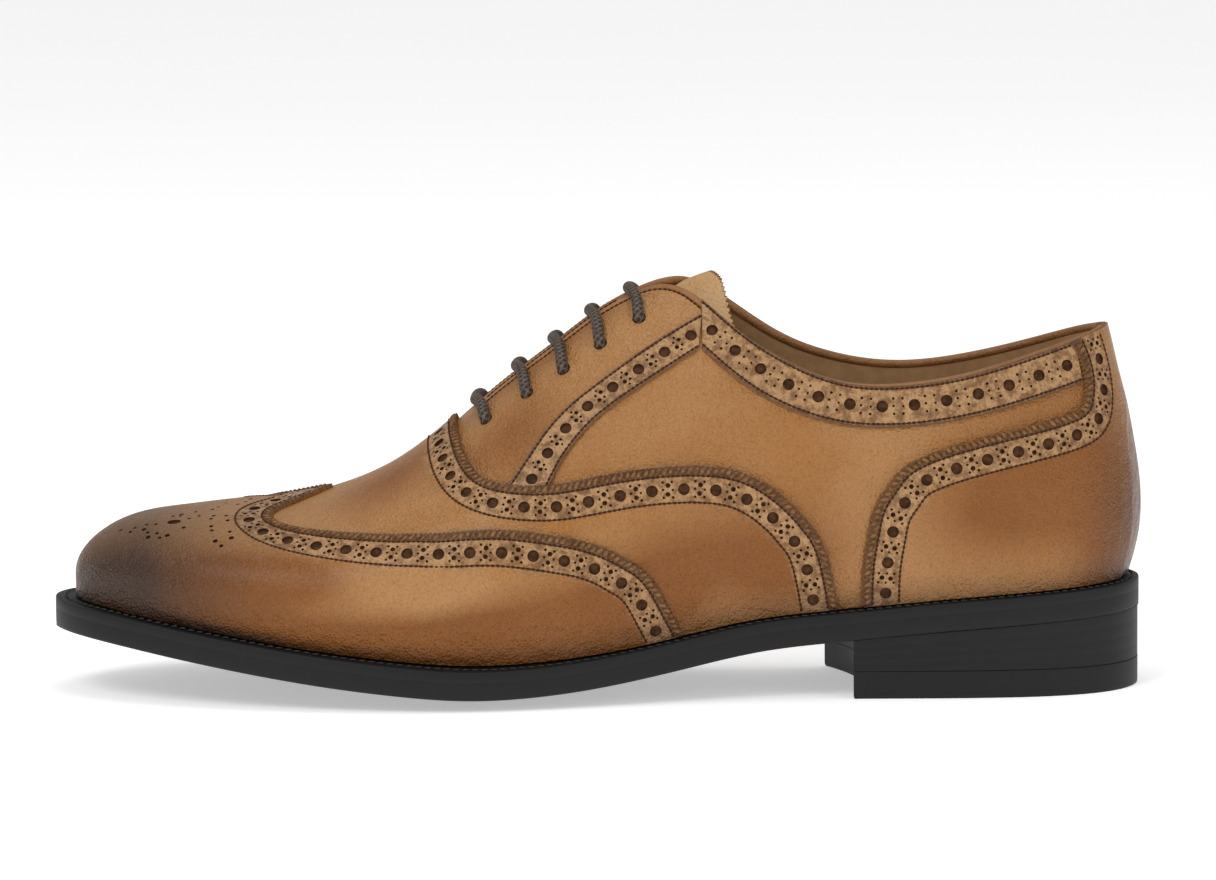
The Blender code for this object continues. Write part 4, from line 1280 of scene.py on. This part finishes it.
# %% Layers of the sole
def block(name, grid, low, high, profile, material):
    """A layer over a grid of plan points: profile lists (inset, share of height) up its edge."""
    rows, columns = grid.shape[:2]
    rim = [(0, c) for c in range(columns)] + [(r, columns - 1) for r in range(1, rows)]
    rim += [(rows - 1, c) for c in range(columns - 2, -1, -1)] + [(r, 0) for r in range(rows - 2, 0, -1)]
    rim = [rc for k, rc in enumerate(rim) if np.linalg.norm(grid[rc] - grid[rim[k - 1]]) > 1e-7]
    line = np.array([grid[rc] for rc in rim])
    travel = unit(np.roll(line, -1, 0) - np.roll(line, 1, 0))
    outward = np.stack([travel[:, 1], -travel[:, 0]], 1)
    if ((line - line.mean(0)) * outward).sum() < 0:
        outward = -outward
    rings = []
    for inset, share in profile:
        ring = line - inset * outward
        rings.append(np.column_stack([ring, low(ring) + (high(ring) - low(ring)) * share]))
    points, faces = [], []
    for ring, height, turn in ((rings[0], low, -1), (rings[-1], high, 1)):
        cap = np.concatenate([grid, height(grid.reshape(-1, 2)).reshape(rows, columns, 1)], -1)
        at_rim = {tuple(np.round(grid[rc], 7)): ring[k] for k, rc in enumerate(rim)}
        for r, c in np.ndindex(rows, columns):
            if r in (0, rows - 1) or c in (0, columns - 1):
                cap[r, c] = at_rim.get(tuple(np.round(grid[r, c], 7)), cap[r, c])
        corners = [len(points) + r * columns + c for r in range(rows - 1) for c in range(columns - 1)]
        faces += [(a, a + 1, a + columns + 1, a + columns)[::turn] for a in corners]
        points += list(cap.reshape(-1, 3))
    count, stop = len(rim), len(points) + (len(rings) - 1) * len(rim)
    faces += [(k + i, k + (i + 1) % count, k + count + (i + 1) % count, k + count + i)
              for k in range(len(points), stop, count) for i in range(count)]
    return mesh_piece(name, points + list(np.concatenate(rings)), faces, [material])


def plan_grid(count, row):
    """Plan points: row(r) gives x and y along a layer for each share r across it."""
    return np.stack([np.stack(row(r), -1) for r in np.linspace(-1, 1, count)])


def along_of(plan):
    return np.clip(0.5 - plan[:, 0] / SOLE_LENGTH, 0, 1)


def across_of(plan, lateral, medial):
    wide = np.where(plan[:, 1] < 0, lateral, medial)
    return np.clip(np.abs(plan[:, 1]) / np.maximum(wide, 1e-4), 0, 1)


def share_of(plan):
    a = along_of(plan)
    return a, across_of(plan, half(a, -1), half(a, 1))


def sole_top(a, r):
    return edge(a) + OUTSOLE - 0.5 * camber(a) * (1 - r ** 2)


def sole_low(plan):
    a, r = share_of(plan)
    return np.maximum(edge(a) - camber(a) * (1 - r ** 2), 0)


EDGE_PROFILE = [(0.5 * MM, 0.0), (0.15 * MM, 0.05), (0.0, 0.15), (0.0, 0.5), (0.0, 0.95), (0.03 * MM, 1.0)]
stations = spaced(170)
grid = plan_grid(25, lambda r: (SOLE_LENGTH * (0.5 - stations), r * half(stations, -1 if r < 0 else 1)))
outsole = block("outsole_leather", grid, sole_low, lambda plan: sole_top(*share_of(plan)) - APART / 2,
                EDGE_PROFILE, edge_black)

# %% Heel
LIFTS, HAIR = 4, 0.02 * MM
LIFT_PROFILE = [(0.2 * MM, 0.0)]
for k in range(LIFTS):
    LIFT_PROFILE += [(0.0, (k + 0.06) / LIFTS), (0.0, (k + 0.94) / LIFTS), (0.025 * MM, (k + 1) / LIFTS)]
TOP_PROFILE = [(0.4 * MM, 0.0), (0.1 * MM, 0.06), (0.0, 0.15), (0.0, 0.96), (0.05 * MM, 1.0)]
steps = np.sin(np.linspace(0, np.pi / 2, 60)) ** 2 * 0.5 + np.linspace(0, 1, 60) ** 2 * 0.5


def heel_grid(inset):
    def row(r):
        a = inset / SOLE_LENGTH + steps * (BREAST("a", r) - inset / SOLE_LENGTH)
        return SOLE_LENGTH * (0.5 - a), r * (half(a - inset / SOLE_LENGTH, -1 if r < 0 else 1) - inset)
    grid = plan_grid(25, row)
    grid[:, 0, 1] = 0
    return grid


def flat(height):
    return lambda plan: np.full(len(plan), height)


def under_sole(plan):
    return edge(along_of(plan)) - camber(along_of(plan)) - HAIR


heel_stack = block("heel_stack", heel_grid(0.25 * MM), flat(TOP_LIFT + HAIR), under_sole, LIFT_PROFILE,
                   edge_black)
top_lift = block("heel_top_lift", heel_grid(0.2 * MM), flat(0.0), flat(TOP_LIFT), TOP_PROFILE, edge_black)

# %% Welt
WELT_STITCH, WELT_STITCH_SIZE = 2.6 * MM, (2.1 * MM, 0.7 * MM, 0.5 * MM)
ring = spaced(260)
loop, welt_line = [], []
for side, stretch in ((-1, ring), (1, ring[-2:0:-1])):
    rim = np.stack([SOLE_LENGTH * (0.5 - stretch), side * half(stretch, side)], -1)
    core = skin(stretch, 0.0, side, -WALL + 0.02 * MM)[:, :2]
    way, share = unit(core - rim), across_of(core, half(stretch, side), half(stretch, side))
    low_z, high_z = edge(stretch) + OUTSOLE - APART / 2 + HAIR, edge(stretch) + OUTSOLE + WELT
    feather_z, seat_z = feather(along_of(core)) - APART, sole_top(along_of(core), share) + APART / 2
    corners = [
        (rim + 0.03 * MM * way, low_z), (rim, low_z + 0.1 * MM), (rim, high_z - 0.5 * MM),
        (rim + 0.15 * MM * way, high_z - 0.12 * MM), (rim + 0.5 * MM * way, high_z),
        (rim + 0.5 * (core - rim), (high_z + feather_z) / 2), (core, feather_z), (core, seat_z),
    ]
    loop.append(np.stack([np.column_stack(corner) for corner in corners], 1))
    welt_line.append(np.column_stack([rim + 0.28 * (core - rim), high_z + 0.25 * MM]))
loop, welt_line = np.concatenate(loop), np.concatenate(welt_line)
count, sides = loop.shape[:2]
faces = [(k * sides + c, k * sides + (c + 1) % sides, n * sides + (c + 1) % sides, n * sides + c)
         for k, n in enumerate([*range(1, count), 0]) for c in range(sides)]
welt = mesh_piece("welt_leather", loop.reshape(-1, 3), faces, [edge_black])
length = run(welt_line)
where = np.arange(WELT_STITCH / 2, length[-1], WELT_STITCH)
row = np.stack([np.interp(where, length, welt_line[:, c]) for c in range(3)], -1)
up, sizes = np.tile((0.0, 0.0, 1.0), (len(row), 1)), np.tile(WELT_STITCH_SIZE, (len(row), 1))
welt_seam = scattered("welt_seam", row, up, np.gradient(row, axis=0), sizes, bead_shape, welt_thread)

# %% Insole
INSOLE_GAP = 0.35 * MM
INSOLE_PROFILE = [(0.1 * MM, 0.0), (0.0, 0.2), (0.0, 0.9), (0.2 * MM, 1.0)]
stations = spaced(110)


def foot_row(r):
    line = skin(stations, 0.0, -1 if r < 0 else 1, -WALL - INSOLE_GAP)
    return line[:, 0], np.abs(line[:, 1]) * r


def insole_share(plan):
    a = along_of(plan)
    s = np.clip((a - UPPER_BACK) / (UPPER_TOE - UPPER_BACK), 0, 1)
    return a, across_of(plan, *(np.abs(skin(s, 0.0, side, -WALL)[:, 1]) for side in (-1, 1)))


def insole_low(plan):
    a, r = insole_share(plan)
    return sole_top(a, 0.85 * r) + APART / 2 + 0.15 * MM


def insole_high(plan):
    a, r = insole_share(plan)
    return feather(a) + INSOLE_OVER - 0.25 * camber(a) * (1 - r ** 2)


insole = block("insole_sock", plan_grid(19, foot_row), insole_low, insole_high, INSOLE_PROFILE, lining)

# %% [markdown]
# ## Joining the frame
#
# The shoe has no joints, so every piece rides on the one body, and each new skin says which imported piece
# it stands for.

# %% Rides and finish
STANDS_FOR = {
    "upper": [upper, *bindings], "vamp": [vamp], "wing_cap": [wing], "heel_counter": [counter],
    "facing_strap_lateral": [straps[0]], "collar_strap_lateral": [straps[1]],
    "facing_strap_medial": [straps[2]], "collar_strap_medial": [straps[3]],
    "tongue": [tongue], "lace": [lace], "outsole": [outsole], "heel_base": [heel_stack],
    "top_lift": [top_lift], "welt": [welt], "insole": [insole],
}
for shape in (bead_shape, pin_shape, fine_pin_shape):
    bpy.data.objects.remove(shape)
for node, pieces in STANDS_FOR.items():
    for piece in pieces:
        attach(piece, "root")
        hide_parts(node)
for piece, slot in ((stitches, "brown_cord"), (channel_cords, "brown_cord"), (welt_seam, "brown_cord"),
                    (margins, "burnished_leather")):
    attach(piece, "root")

total = 0
for obj in bpy.data.objects:
    if obj.type == "MESH" and not obj.name.startswith("floor") and obj.name not in frame["nodes"]:
        obj.data.calc_loop_triangles()
        total += len(obj.data.loop_triangles)
        print(obj.name, len(obj.data.loop_triangles), "triangles")
print("triangles in all:", total)
